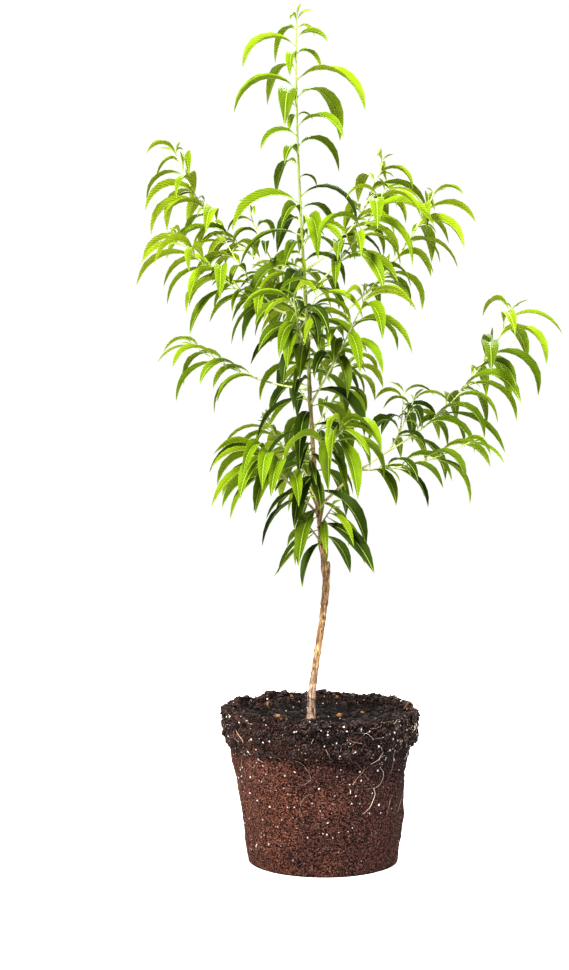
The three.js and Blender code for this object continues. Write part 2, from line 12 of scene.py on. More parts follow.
import bmesh
import bpy
import numpy as np
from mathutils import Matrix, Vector


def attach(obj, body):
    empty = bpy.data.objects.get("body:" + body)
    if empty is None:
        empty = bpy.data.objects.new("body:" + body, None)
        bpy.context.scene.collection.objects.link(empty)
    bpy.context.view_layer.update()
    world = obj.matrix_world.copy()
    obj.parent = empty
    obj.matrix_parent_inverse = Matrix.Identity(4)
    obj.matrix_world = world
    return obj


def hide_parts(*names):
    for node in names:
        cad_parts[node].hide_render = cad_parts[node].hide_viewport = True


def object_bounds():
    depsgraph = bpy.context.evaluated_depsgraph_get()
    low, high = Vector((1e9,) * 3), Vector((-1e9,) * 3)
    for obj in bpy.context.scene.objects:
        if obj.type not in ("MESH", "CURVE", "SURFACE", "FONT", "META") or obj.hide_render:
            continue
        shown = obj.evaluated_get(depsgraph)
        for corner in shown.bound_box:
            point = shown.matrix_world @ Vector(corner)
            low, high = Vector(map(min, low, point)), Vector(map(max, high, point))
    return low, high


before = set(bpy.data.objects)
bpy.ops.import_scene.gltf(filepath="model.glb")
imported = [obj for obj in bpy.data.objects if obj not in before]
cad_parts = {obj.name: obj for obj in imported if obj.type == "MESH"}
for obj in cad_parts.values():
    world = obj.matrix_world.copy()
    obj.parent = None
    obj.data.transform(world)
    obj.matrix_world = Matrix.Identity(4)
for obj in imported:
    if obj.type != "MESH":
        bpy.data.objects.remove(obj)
cad_low, cad_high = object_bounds()
print("nodes in the frame:", len(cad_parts))

MM = 0.001

# %% [markdown]
# ## Camera, floor and light
#
# The tree is seen from the front with a long lens, from a little above its middle. The lens is worked
# out from the pixels that its focal length spans and the height of the frame. The studio is bright: a
# pale floor, and a white sky that fills the shadows. The light could come from a picture of a studio,
# but three lamps are easier to balance. The key lamp at the upper left is small enough to model the
# arched leaves, a weaker one lights them from the right, and a faint one behind the tree parts the
# crown from the background. A view gamma below one deepens the middle tones.

# %% Camera
FRAME_HEIGHT_PIXELS = 970
FOCAL_PIXELS = 1791
SENSOR_HEIGHT = 24
CAMERA_PLACE, CAMERA_AIM = (-0.052, -2.4, 0.62), (-0.052, 0, 0.506)


def placed_object(name, data):
    made = bpy.data.objects.new(name, data)
    bpy.context.scene.collection.objects.link(made)
    return made


def aimed_object(name, data, place, target):
    """An object at place that looks at target. Cameras and lamps look along their own -Z."""
    made = placed_object(name, data)
    made.location = place
    made.rotation_euler = (Vector(target) - Vector(place)).to_track_quat("-Z", "Y").to_euler()
    return made


camera_data = bpy.data.cameras.new("camera")
camera_data.sensor_fit = "VERTICAL"
camera_data.sensor_height = SENSOR_HEIGHT
camera_data.lens = FOCAL_PIXELS / FRAME_HEIGHT_PIXELS * SENSOR_HEIGHT
bpy.context.scene.camera = aimed_object("camera", camera_data, CAMERA_PLACE, CAMERA_AIM)
print("lens in mm:", round(camera_data.lens, 1))

# %% Floor, sky and lamps
SKY_STRENGTH = 1.0
VIEW_GAMMA = 0.8
FLOOR_HALF = 3
# place, height that it is aimed at, width, watts, colour
LAMPS = {
    "key": ((-1.2, -1.9, 2.6), 0.7, 0.7, 310, (1, 0.985, 0.95)),
    "side": ((1.7, -1.1, 2.5), 0.7, 0.8, 140, (1, 1, 1)),
    "back": ((0.4, 1.9, 2.4), 0.8, 0.8, 80, (1, 1, 1)),
}
world = bpy.data.worlds.new("studio")
bpy.context.scene.world = world
world.use_nodes = True
sky = world.node_tree.nodes["Background"]
sky.inputs["Color"].default_value = (1, 1, 1, 1)
sky.inputs["Strength"].default_value = SKY_STRENGTH
for name, (place, aim_height, width, watts, colour) in LAMPS.items():
    light = bpy.data.lights.new(name, "AREA")
    light.shape = "DISK"
    light.size = width
    light.energy = watts
    light.color = colour
    aimed_object(name, light, place, (0, 0, aim_height))
bpy.context.scene.view_settings.view_transform = "Standard"
bpy.context.scene.view_settings.gamma = VIEW_GAMMA

floor_mesh = bpy.data.meshes.new("floor")
floor_corners = [(x * FLOOR_HALF, y * FLOOR_HALF, 0) for x, y in ((-1, -1), (1, -1), (1, 1), (-1, 1))]
floor_mesh.from_pydata(floor_corners, [], [(0, 1, 2, 3)])
floor = placed_object("floor", floor_mesh)
print("lamps:", len(LAMPS), "floor in m:", 2 * FLOOR_HALF)

# %% [markdown]
# ## Arithmetic on nodes
#
# Both finishes and growth trees are graphs of nodes. They could be drawn by hand in the node editor,
# but a graph that is written down can be read, repeated and given other sizes. Value wraps one output
# socket, so that Python's own signs add Math nodes. Graph.node adds any other node from its type, its
# settings and what goes into its sockets, and short methods name the ones that come back often.


# %% Node graphs
class Value:
    """One output of a node. Arithmetic on it adds Math nodes to its graph."""

    def __init__(self, graph, socket):
        self.graph = graph
        self.socket = socket

    def __add__(self, other):
        return self.graph.maths("ADD", self, other)

    def __sub__(self, other):
        return self.graph.maths("SUBTRACT", self, other)

    def __rsub__(self, other):
        return self.graph.maths("SUBTRACT", other, self)

    def __mul__(self, other):
        return self.graph.maths("MULTIPLY", self, other)

    def __truediv__(self, other):
        return self.graph.maths("DIVIDE", self, other)

    __radd__ = __add__
    __rmul__ = __mul__


class Graph:
    """The nodes of one finish or of one growth tree."""

    def __init__(self, tree):
        self.tree = tree

    def node(self, kind, settings=None, inputs=None, out=0):
        """A new node's output. inputs holds numbers, colours, or other outputs to link."""
        made = self.tree.nodes.new(kind)
        for key, value in (settings or {}).items():
            setattr(made, key, value)
        for key, value in (inputs or {}).items():
            if isinstance(value, Value):
                self.tree.links.new(value.socket, made.inputs[key])
            else:
                made.inputs[key].default_value = value
        return Value(self, made.outputs[out])

    def maths(self, operation, *terms):
        return self.node("ShaderNodeMath", {"operation": operation}, dict(enumerate(terms)))

    def parts(self, vector):
        """A vector's x, y and z."""
        split = self.node("ShaderNodeSeparateXYZ", None, {0: vector}).socket.node
        return [Value(self, part) for part in split.outputs]

    def scaled(self, vector, factor):
        return self.node("ShaderNodeVectorMath", {"operation": "SCALE"}, {0: vector, "Scale": factor})

    def ramp(self, value, low, high, to_low=0.0, to_high=1.0):
        """value's way from low to high as a smooth share, from to_low to to_high."""
        settings = {"interpolation_type": "SMOOTHSTEP"}
        return self.node("ShaderNodeMapRange", settings, {0: value, 1: low, 2: high, 3: to_low, 4: to_high})

    def mix(self, share, first, second):
        return self.node("ShaderNodeMix", {"data_type": "RGBA"}, {0: share, 6: first, 7: second}, 2)

    def noise(self, place, scale, detail=3.0, roughness=0.5):
        inputs = {"Vector": place, "Scale": scale, "Detail": detail, "Roughness": roughness}
        return self.node("ShaderNodeTexNoise", None, inputs)


# %% Colours and finishes
def rgb(code):
    """A colour written as six hex digits, as the linear numbers that shaders take: the sRGB curve."""
    parts = [int(code[i:i + 2], 16) / 255 for i in (0, 2, 4)]
    return (*[p / 12.92 if p < 0.04045 else ((p + 0.055) / 1.055) ** 2.4 for p in parts], 1)


class Finish(Graph):
    """A material: its graph, its Principled shader, and where on the piece a point lies."""

    def __init__(self, name, roughness, specular=0.5):
        self.material = bpy.data.materials.new(name)
        self.material.use_nodes = True
        super().__init__(self.material.node_tree)
        self.shader = self.tree.nodes["Principled BSDF"]
        self.set("Roughness", roughness)
        self.set("Specular IOR Level", specular)

    def set(self, socket, value):
        if isinstance(value, Value):
            self.tree.links.new(value.socket, self.shader.inputs[socket])
        else:
            self.shader.inputs[socket].default_value = value

    def place(self, stretch=(1, 1, 1)):
        """The point on the piece, in metres, drawn out along each axis."""
        point = self.node("ShaderNodeTexCoord", out="Object")
        return self.node("ShaderNodeMapping", None, {"Vector": point, "Scale": stretch})

    def height(self):
        """How high the point lies, in metres."""
        return self.parts(self.place())[2]

    def map_place(self):
        """The point on the piece's own map, as its two numbers."""
        return self.parts(self.node("ShaderNodeTexCoord", out="UV"))[:2]

    def bump(self, height, depth):
        self.set("Normal", self.node("ShaderNodeBump", None, {"Height": height, "Distance": depth}))


FLOOR_GREY = 0.72
floor_finish = Finish("studio_floor", roughness=0.9, specular=0.1)
floor_finish.set("Base Color", (FLOOR_GREY, FLOOR_GREY, FLOOR_GREY, 1))
floor_mesh.materials.append(floor_finish.material)
print("floor finish nodes:", len(floor_finish.tree.nodes))

# %% [markdown]
# ## The rule of growth
#
# A peach sets its leaves two fifths of a turn apart. Each leaf rises from the shoot on its stalk,
# arches over and hangs. The tree could be grown from a random generator, but then one more leaf would
# change all that come after it. Here every chance comes from chance(), which gives a fixed number for
# each stem, leaf and stream, so the tree is the same on every run and the same as in the solids.


# %% Chance, and small vector tools
def chance(stem, leaf, stream):
    """A number from 0 to 1 that belongs to this stem, leaf and stream."""
    bits = 0xFFFFFFFF
    mixed = ((stem + 1) * 0x9E3779B1 & bits) ^ ((leaf + 1) * 0x85EBCA77 & bits)
    mixed ^= (stream + 1) * 0xC2B2AE3D & bits
    mixed ^= mixed >> 15
    mixed = mixed * 0x2C1B3C6D & bits
    mixed ^= mixed >> 12
    mixed = mixed * 0x297A2D39 & bits
    mixed ^= mixed >> 15
    return mixed / 2**32


def lerp(first, second, share):
    return first + (second - first) * share


def unit(vector):
    return vector / np.linalg.norm(vector)


def bearing_way(bearing):
    return np.array([math.cos(math.radians(bearing)), math.sin(math.radians(bearing)), 0.0])


def either_way(number, degrees):
    return (number - 0.5) * 2 * math.radians(degrees)


UP = np.array([0.0, 0.0, 1.0])
CLEARANCE = 0.3  # what the solids leave free between neighbours
print("chances of the first leaves:", [round(chance(0, leaf, 0), 3) for leaf in range(3)])

# %% Curves that limbs follow
ARC_STEPS = 200
HEIGHT_HALVINGS = 30


class Arc:
    """A limb's middle line: an arc from its root to its tip, drawn towards a middle point."""

    def __init__(self, root, middle, tip):
        self.points = np.array([root, middle, tip], float)
        steps = np.linspace(0, 1, ARC_STEPS + 1)[:, None]
        self.length = np.linalg.norm(np.diff(self.place(steps), axis=0), axis=1).sum()

    def place(self, share):
        root, middle, tip = self.points
        return (1 - share) ** 2 * root + 2 * (1 - share) * share * middle + share**2 * tip

    def way(self, share):
        root, middle, tip = self.points
        return unit((1 - share) * (middle - root) + share * (tip - middle))


def limb(root, bearing, reach, rise, sag):
    """A limb that heads out and up from its root, and bows down between by a share of its length."""
    out = bearing_way(bearing)
    chord = out * reach + UP * rise
    below = unit(out * rise - UP * reach)
    middle = root + chord * 0.5 + below * (2 * sag * np.linalg.norm(chord))
    return Arc(root, middle, root + chord)


# %% Smooth lines through stations
class Run:
    """A smooth line through stations, spaced by the square root of their distance."""

    def __init__(self, stations):
        inner = np.array([s[:3] for s in stations], float)
        first, last = 2 * inner[0] - inner[1], 2 * inner[-1] - inner[-2]
        self.points = np.vstack([first, inner, last])
        self.girths = [s[3] for s in stations]
        self.spans = len(inner) - 1

    def place(self, share):
        at = min(max(share, 0), 1) * self.spans
        span = min(int(at), self.spans - 1)
        t = at - span
        a, b, c, d = self.points[span:span + 4]
        ab, bc, cd = (np.linalg.norm(q - p) ** 0.5 for p, q in ((a, b), (b, c), (c, d)))
        start = ((b - a) / ab - (c - a) / (ab + bc) + (c - b) / bc) * bc
        end = ((c - b) / bc - (d - b) / (bc + cd) + (d - c) / cd) * bc
        bend = -3 * b + 3 * c - 2 * start - end
        ease = 2 * b - 2 * c + start + end
        return b + start * t + bend * t**2 + ease * t**3

    def way(self, share):
        nudge = 1e-4
        return unit(self.place(min(share + nudge, 1)) - self.place(max(share - nudge, 0)))

    def girth(self, share):
        at = min(max(share, 0), 1) * self.spans
        span = min(int(at), self.spans - 1)
        return lerp(self.girths[span], self.girths[span + 1], at - span)


# %% [markdown]
# ## Trunk and leader
#
# The trunk was headed back once: it ends in a cut stub, and a green leader took over beside it. A
# stem could be drawn as one straight cone, but the sway and the change of girth at the cut are what
# makes it look grown. So both follow a smooth line through stations: x, y, z and radius.

# %% Trunk stations
SOIL_TOP = 188
TRUNK = Run([
    (-16.5, 0, 188.3, 7.2), (-16, 0, 197.3, 5.4), (-15.5, 0.5, 221, 5.5), (-11, 1, 256, 4.8),
    (-2, 1, 319, 4.7), (3.5, 0, 365, 4.7), (4.7, 0, 403, 4.9)])
LEADER = Run([
    (3.2, 0, 380, 3.4), (-1, -1, 417, 3.7), (-10, -1, 506, 3.5), (-17.4, 0, 614, 3.1),
    (-22, 1, 721, 2.7), (-27.5, 1, 815, 2.2), (-31.5, 0, 893, 1.8)])


def leader_share(height):
    """How far along the leader this height lies, found by halving."""
    low, high = 0.0, 1.0
    for _ in range(HEIGHT_HALVINGS):
        middle = (low + high) / 2
        if LEADER.place(middle)[2] < height:
            low = middle
        else:
            high = middle
    return low


def leader_point(height):
    return LEADER.place(leader_share(height))


print("leader top:", leader_point(LEADER.points[-2][2]).round(1))

# %% [markdown]
# ## Boughs, branches and spurs
#
# Low boughs head out almost level, upper ones climb, and one low arm on the right reaches furthest.
# Short spurs clothe the leader between them. Boughs could be dealt out by a rule alone, but a real
# tree owes its outline to a few that grew better than the rest. So each has its own row, from the top
# down. The top shoot carries large and small leaves mixed, as a leader in full growth does.

# %% Limb tables
# height on the leader, bearing, reach, rise, sag, butt, share that is bare,
# then of its spray: leaves, longest leaf, turn, shoots
BOUGHS = {
    "right_top": (792, 33, 130, 156, 0.1, 2.3, 0.2, 16, 98, 20, 0),
    "left_top": (780, 160, 186, 176, 0.12, 2.6, 0.26, 20, 96, 60, 0),
    "right_high": (760, -38, 128, 130, 0.06, 2.3, 0.24, 14, 102, 100, 0),
    "left_high": (726, 199, 178, 104, 0.07, 2.7, 0.24, 17, 98, 200, 0),
    "right_outer": (703, 9, 172, 194, 0.08, 2.8, 0.3, 17, 102, 320, 0),
    "back_high": (690, 104, 138, 112, 0.06, 2.4, 0.25, 13, 100, 10, 1),
    "front_high": (668, -100, 122, 84, 0.06, 2.3, 0.3, 12, 102, 150, 1),
    "left_middle": (634, 174, 158, 60, 0.07, 2.6, 0.36, 13, 96, 250, 0),
    "right_middle": (614, -56, 126, 140, 0.02, 2.7, 0.24, 17, 102, 75, 0),
    "back_middle": (580, 68, 162, 104, 0.05, 2.7, 0.26, 14, 106, 290, 1),
    "front_low": (540, -72, 116, 44, 0.03, 2.6, 0.3, 12, 118, 40, 0),
    "back_low": (500, 106, 142, 66, 0.03, 2.8, 0.3, 14, 112, 130, 1),
    "left_low": (466, 214, 92, 84, 0.0, 2.9, 0.46, 18, 118, 330, 0),
    "right_low": (474, -10, 108, 86, -0.04, 3.1, 1, 0, 0, 0, 0),
}
# bough, share of it where the branch starts, bearing, reach, rise, sag, butt,
# then of its spray: leaves, longest leaf, turn, shoots
BRANCHES = {
    "left_top_upright": ("left_top", 0.14, 172, 42, 88, 0.05, 1.6, 9, 60, 30, 0),
    "left_high_upright": ("left_high", 0.2, 176, 70, 92, 0.05, 1.8, 9, 88, 90, 0),
    "right_low_outer": ("right_low", 1, 6, 152, 180, 0.08, 1.9, 22, 114, 180, 0),
    "right_low_inner": ("right_low", 0.9, 40, 44, 66, 0.03, 1.7, 10, 82, 240, 1),
    "right_low_under": ("right_low", 0.56, -25, 156, 40, 0.06, 2, 14, 90, 120, 0),
}
BOUGH_TIP = 1.1
BARE_BOUGH_TIP = 2
TWIG_TIP = 0.6
SHOOT = dict(along=(0.2, 0.6), swing=(32, 55), form=(44, 52, 0.05), butt=1.5, leaves=5, leaf=0.88, first=0.3)
SPUR = dict(
    count=10, heights=(428, 825), crowd=1.3, first_bearing=190, turn=137.5, dodge=30, form=(18, 24, 0),
    butt=1.8, leaves=4, first_leaf=0.35, leaf_turn=77, leaf_lengths=(94, 92), droops=(70, 0))
TOP = dict(
    tip=(-35.5, 2, 1124), onward=0.6, butt=1.9, leaves=18, leaf=120, lengths=(0.34, 1.14), turn=60, droop=14)
print("boughs:", len(BOUGHS), "branches:", len(BRANCHES), "spurs:", SPUR["count"])

# %% [markdown]
# ## Where each leaf stands
#
# A leaf starts in the middle of its shoot. Its stalk leans out, its slope falls steadily from stalk
# to tip, and its heading swings a little. In the solids, a leaf that would touch a neighbour was
# tried in other places. The same search could be run again here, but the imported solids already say
# which place it got: the tip of the leaf is one of their corners. A leaf with no such corner was left
# out there, and is left out here.

# %% Leaf rule
LEAF = dict(
    turn=144, first=0.06, last=0.99, inset=0.35, lengths=(0.8, 1.1), ripening=(0.2, 0.76), least=0.62,
    young=3, young_length=0.78, steps=20, petiole_angle=(28, 50), upward=0.5, outward=0.35, lift=8,
    steepest=60, lowest=-10, hang=(-92, -62), young_hang=26, bend=1.3, roll=26, curl=20, tries=8, swing=46)
LENGTH, ANGLE, SWING, HANG, ROLL, CURL, SHOOT_STREAM, PER_TRY = 0, 1, 2, 3, 4, 5, 7, 16
UPRIGHT = 0.15  # a shoot that leans out less than this has no level side of its own


def leaf_seat(curve, share, turn):
    """Where a leaf starts, the shoot's way there, how level the shoot is, and the way out to the leaf."""
    centre, along = curve.place(share), curve.way(share)
    side = np.cross(along, UP)
    level = np.linalg.norm(side)
    if level < UPRIGHT:
        side = np.cross([0, 1, 0], along)
    side = unit(side)
    top = np.cross(side, along)
    turn = math.radians(turn)
    out = unit(top * (math.cos(turn) + LEAF["upward"] * level) + side * math.sin(turn))
    return centre, along, level, out


# %% One leaf
class Leaf:
    """One leaf: the line of its rib, with the way along it and a level way across it at each step."""

    def __init__(self, seat, stem, index, length, youth, droop, attempt=0):
        def pick(stream):
            return chance(stem, index, stream + PER_TRY * attempt)

        centre, along, level, out = seat
        angle = math.radians(lerp(*LEAF["petiole_angle"], pick(ANGLE)))
        start = along * math.cos(angle) + out * math.sin(angle)
        onward = math.atan2(along[1], along[0])
        aside = math.atan2(start[1], start[0]) - onward
        aside = math.atan2(math.sin(aside), math.cos(aside)) * (1 - LEAF["outward"] * level)
        heading = onward + aside + (either_way(pick(SWING), LEAF["swing"]) if attempt else 0)
        rising = math.degrees(math.asin(start[2])) + LEAF["lift"]
        rising = min(max(rising, LEAF["lowest"]), LEAF["steepest"])
        falling = lerp(*LEAF["hang"], pick(HANG)) + youth * LEAF["young_hang"]
        curl = either_way(pick(CURL), LEAF["curl"])
        share = np.linspace(0, 1, LEAF["steps"] + 1)
        slope = np.radians(lerp(rising - droop, falling, 1 - (1 - share) ** LEAF["bend"]))
        way = heading + curl * share
        self.along = np.stack([np.cos(way) * np.cos(slope), np.sin(way) * np.cos(slope), np.sin(slope)], 1)
        self.level = np.stack([-np.sin(way), np.cos(way), 0 * way], 1)
        steps = self.along[:-1] * (length / LEAF["steps"])
        self.places = centre + np.vstack([[0, 0, 0], np.cumsum(steps, 0)])
        self.roll = either_way(pick(ROLL), LEAF["roll"])
        self.length = length
        self.youth = youth
        self.seat = seat
        self.stem = stem
        self.index = index


# %% Find the leaves of a shoot
# how near a corner of the solid has to lie to the tip of a leaf
SAME_PLACE = 0.05


def cad_corners(node):
    """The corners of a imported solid, in millimetres."""
    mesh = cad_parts[node].data
    corners = np.empty(3 * len(mesh.vertices))
    mesh.vertices.foreach_get("co", corners)
    return corners.reshape(-1, 3) / MM


def leaves_of(curve, start, count, longest, turn, droop, stem, corners, lengths=LEAF["lengths"]):
    """The leaves of a shoot, in the places that the solid's corners confirm."""
    found = []
    for i in range(count):
        share = lerp(start, LEAF["last"], (i + LEAF["inset"]) / (count - LEAF["inset"]))
        seat = leaf_seat(curve, share, turn + i * LEAF["turn"])
        ripe = math.sin(math.pi * lerp(*LEAF["ripening"], i / count))
        youth = min(max((i - count + 1 + LEAF["young"]) / LEAF["young"], 0), 1)
        grown = longest * lerp(LEAF["least"], 1, ripe) * lerp(*lengths, chance(stem, i, LENGTH))
        length = grown * lerp(1, LEAF["young_length"], youth)
        for attempt in range(LEAF["tries"]):
            leaf = Leaf(seat, stem, i, length, youth, droop, attempt)
            if np.linalg.norm(corners - leaf.places[-1], axis=1).min() < SAME_PLACE:
                leaf.share = share
                found.append(leaf)
                break
    return found


class Stem:
    """A leafy shoot: its curve, the stretch of it that grows, its radii there, and its leaves."""

    def __init__(self, mass, curve, start, butt, leaves):
        self.mass, self.curve, self.start, self.butt, self.leaves = mass, curve, start, butt, leaves


# %% Plan the masses on boughs, branches and leader
masses = []


def plan_mass(name, curve, start, butt, leaves, longest, turn, shoots=0,
              first_leaf=LEAF["first"], droop=0, lengths=LEAF["lengths"]):
    masses.append(dict(name="foliage_" + name, curve=curve, start=start, butt=butt, leaves=leaves,
                       longest=longest, turn=turn, shoots=shoots, first_leaf=first_leaf, droop=droop,
                       lengths=lengths))


bough_curves, bough_girths = {}, {}
for name, (height, bearing, reach, rise, sag, butt, bare, *spray) in BOUGHS.items():
    curve = limb(leader_point(height), bearing, reach, rise, sag)
    end = BARE_BOUGH_TIP if bare == 1 else BOUGH_TIP
    bough_curves[name], bough_girths[name] = curve, (butt, end, bare)
    if bare < 1:
        plan_mass(name, curve, bare + CLEARANCE / curve.length, lerp(butt, end, bare), *spray)
for name, (bough, along, bearing, reach, rise, sag, butt, *spray) in BRANCHES.items():
    curve = bough_curves[bough]
    root = curve.place(along) + (curve.way(1) * CLEARANCE if along == 1 else 0)
    plan_mass(name, limb(root, bearing, reach, rise, sag), 0, butt, *spray)
leader_end, leader_way = LEADER.place(1), LEADER.way(1)
top_middle = leader_end + leader_way * (TOP["tip"][2] - leader_end[2]) * TOP["onward"]
top_curve = Arc(leader_end + leader_way * CLEARANCE, top_middle, TOP["tip"])
plan_mass("leader", top_curve, 0, TOP["butt"], TOP["leaves"], TOP["leaf"], TOP["turn"],
          droop=TOP["droop"], lengths=TOP["lengths"])
print("masses on boughs, branches and leader:", len(masses))

# %% [markdown]
# A spur keeps clear of the boughs: in the solids it was turned in steps until its own place was free.
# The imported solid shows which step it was, because one of its corners lies at the spur's tip.


# %% Plan the spurs
def spur_curve(number, aside):
    up = number / (SPUR["count"] - 1)
    root = leader_point(lerp(*SPUR["heights"], up ** SPUR["crowd"]))
    return limb(root, SPUR["first_bearing"] + number * SPUR["turn"] + aside, *SPUR["form"])


def tip_gap(curve, corners):
    return np.linalg.norm(corners - curve.place(1), axis=1).min()


for k in range(SPUR["count"]):
    up = k / (SPUR["count"] - 1)
    name = f"spur_{k + 1}"
    corners = cad_corners("foliage_" + name)
    curves = [spur_curve(k, aside) for aside in range(0, 360, SPUR["dodge"])]
    curve = min(curves, key=lambda c: tip_gap(c, corners))
    longest, droop = lerp(*SPUR["leaf_lengths"], up), lerp(*SPUR["droops"], up)
    plan_mass(name, curve, 0, SPUR["butt"], SPUR["leaves"], longest, k * SPUR["leaf_turn"],
              first_leaf=SPUR["first_leaf"], droop=droop)
print("masses in all:", len(masses))

# %% Grow the stems and their leaves
stems = []
for at, mass in enumerate(masses):
    corners = cad_corners(mass["name"])
    curve, start, longest, turn, droop = (mass[k] for k in ("curve", "start", "longest", "turn", "droop"))
    first = lerp(start, 1, mass["first_leaf"])
    leaves = leaves_of(
        curve, first, mass["leaves"], longest, turn, droop, len(stems), corners, mass["lengths"])
    stems.append(Stem(mass["name"], curve, start, mass["butt"], leaves))
    for k in range(mass["shoots"]):
        share = lerp(start, 1, lerp(*SHOOT["along"], (k + 0.5) / mass["shoots"]))
        way = curve.way(share)
        swing = (-1 if k % 2 else 1) * lerp(*SHOOT["swing"], chance(at, k, SHOOT_STREAM))
        bearing = math.degrees(math.atan2(way[1], way[0])) + swing
        shoot = limb(curve.place(share), bearing, *SHOOT["form"])
        found = leaves_of(shoot, SHOOT["first"], SHOOT["leaves"], longest * SHOOT["leaf"], turn, droop,
                          len(stems), corners)
        if found:
            stems.append(Stem(mass["name"], shoot, 0, SHOOT["butt"], found))
print("stems:", len(stems), "leaves found in the solids:", sum(len(s.leaves) for s in stems))
for s in stems:
    print("  ", s.mass, len(s.leaves))

# %% [markdown]
# ## Finer growth
#
# A real shoot ends in a tuft of leaves that are still unfolding, and small leaves stand in the axils
# of the large ones. They could be one small mesh that is set on every tip, but then all tufts would
# look alike. Instead they follow the rule of the large leaves with shorter, livelier ones, and stay
# well inside the reach of the shoot's own leaves.

# %% Tufts and axil leaves
FINE_STEM = 500
TUFT = dict(leaves=3, lengths=(14, 30), turn=50, youth=3.0)
AXIL = dict(share=0.2, lengths=(20, 42), turn=60, first_turn=40, youth=0.8)

fine_leaves = []
for at, stem in enumerate(stems):
    for k in range(TUFT["leaves"]):
        seat = leaf_seat(stem.curve, 1, k * LEAF["turn"] + TUFT["turn"] * at)
        length = lerp(*TUFT["lengths"], chance(FINE_STEM + at, k, LENGTH))
        fine_leaves.append((stem, Leaf(seat, FINE_STEM + at, k, length, TUFT["youth"], 0)))
    for leaf in stem.leaves:
        if chance(FINE_STEM + at, leaf.index, ROLL) < AXIL["share"]:
            turn = at * AXIL["turn"] + leaf.index * LEAF["turn"] + AXIL["first_turn"]
            seat = leaf_seat(stem.curve, leaf.share, turn)
            length = lerp(*AXIL["lengths"], chance(FINE_STEM + at, leaf.index, LENGTH))
            fine_leaves.append((stem, Leaf(seat, FINE_STEM + at, leaf.index, length, AXIL["youth"], 0)))
print("fine leaves:", len(fine_leaves))

# %% [markdown]
# The leader isn't bare either: single leaves stand on it between the spurs and hang around it. They
# fill what is left free there, so each is tried in several places until it keeps clear of the leaves
# that are already grown and inside the box of the solids.

# %% Leaves on the leader
ON_LEADER = dict(leaves=56, span=(412, 890), turn=60, lengths=(84, 122), droops=(64, 12), stem=800, gap=6.5)
CROWN_FOOT = 372
BOX_LOW, BOX_HIGH = (np.array(v) / MM for v in (cad_low, cad_high))
BOX_LOW[2] = CROWN_FOOT
FIRST_CHECKED, CHECKED_STEP = 5, 3


def rib_points(leaf):
    """The points of a leaf's rib that have to stay clear of other leaves."""
    return leaf.places[FIRST_CHECKED::CHECKED_STEP]


taken = np.vstack([rib_points(leaf) for s in stems for leaf in s.leaves])
leader_stem = Stem("foliage_leader", LEADER, 1, 0, [])
for k in range(ON_LEADER["leaves"]):
    up = k / (ON_LEADER["leaves"] - 1)
    turn = ON_LEADER["turn"] + k * LEAF["turn"]
    seat = leaf_seat(LEADER, leader_share(lerp(*ON_LEADER["span"], up)), turn)
    length = lerp(*ON_LEADER["lengths"], chance(ON_LEADER["stem"], k, LENGTH))
    droop = lerp(*ON_LEADER["droops"], up)
    for attempt in range(LEAF["tries"]):
        leaf = Leaf(seat, ON_LEADER["stem"], k, length, 0, droop, attempt)
        points = rib_points(leaf)
        inside = (points > BOX_LOW).all() and (points < BOX_HIGH).all()
        if inside and np.linalg.norm(points[:, None] - taken, axis=2).min() > ON_LEADER["gap"]:
            taken = np.vstack([taken, points])
            leader_stem.leaves.append(leaf)
            break
print("leaves on the leader:", len(leader_stem.leaves))

# %% [markdown]
# ## Leaf blades
#
# A peach leaf is long and pointed, folded up along its rib, with margins that ripple a little and roll
# back, and it turns about its rib towards the tip. One blade could be copied and bent along every rib,
# but a copy would be stretched on long leaves and no leaf would fold more than the next. So each blade
# is set out by its own numbers. It is a thin closed shell of some fifty faces: five lines of points
# run along its face and one under its rib, and both sides share the margins. Its map is in tenths of a
# metre, so that veins keep their spacing on leaves of any length.

# %% Blade sizes
BLADE = dict(
    stalk=0.08, widest=0.102, scale=5.3, rise=1.18, fall=1.22, young_width=0.66, under=0.35,
    root_half=0.45, fold=0.76, fold_spread=(0.7, 1.3), young_fold=0.45, most_young=1.5, gather=0.8,
    roll_back=0.26, ripple=0.035, ripples=3, twist=38)
BLADE_SHARES = np.array([0.085, 0.16, 0.25, 0.36, 0.48, 0.6, 0.72, 0.83, 0.93, 1.0])
ACROSS = (-1, -0.52, 0, 0.52, 1)
LINES = len(ACROSS) + 1
RIPPLE_STREAM, FOLD_STREAM, TWIST_STREAM = 11, 12, 15
print("rows along a blade:", len(BLADE_SHARES), "points in a row:", LINES)


def along_rib(leaf, share):
    """Place, way, side and top of a leaf's rib at these shares, on a smooth line through its steps."""
    at = np.clip(share * LEAF["steps"], 0, LEAF["steps"] - 1e-6)
    span = at.astype(int)
    t = (at - span)[:, None]
    slopes = np.gradient(leaf.places, axis=0)
    place = (
        (2 * t**3 - 3 * t**2 + 1) * leaf.places[span] + (t**3 - 2 * t**2 + t) * slopes[span]
        + (3 * t**2 - 2 * t**3) * leaf.places[span + 1] + (t**3 - t**2) * slopes[span + 1])
    way = lerp(leaf.along[span], leaf.along[span + 1], t)
    way /= np.linalg.norm(way, axis=1)[:, None]
    level = lerp(leaf.level[span], leaf.level[span + 1], t)
    level /= np.linalg.norm(level, axis=1)[:, None]
    twist = either_way(chance(leaf.stem, leaf.index, TWIST_STREAM), BLADE["twist"])
    roll = (leaf.roll + twist * share)[:, None]
    side = level * np.cos(roll) + np.cross(way, level) * np.sin(roll)
    return place, way, side, np.cross(way, side)


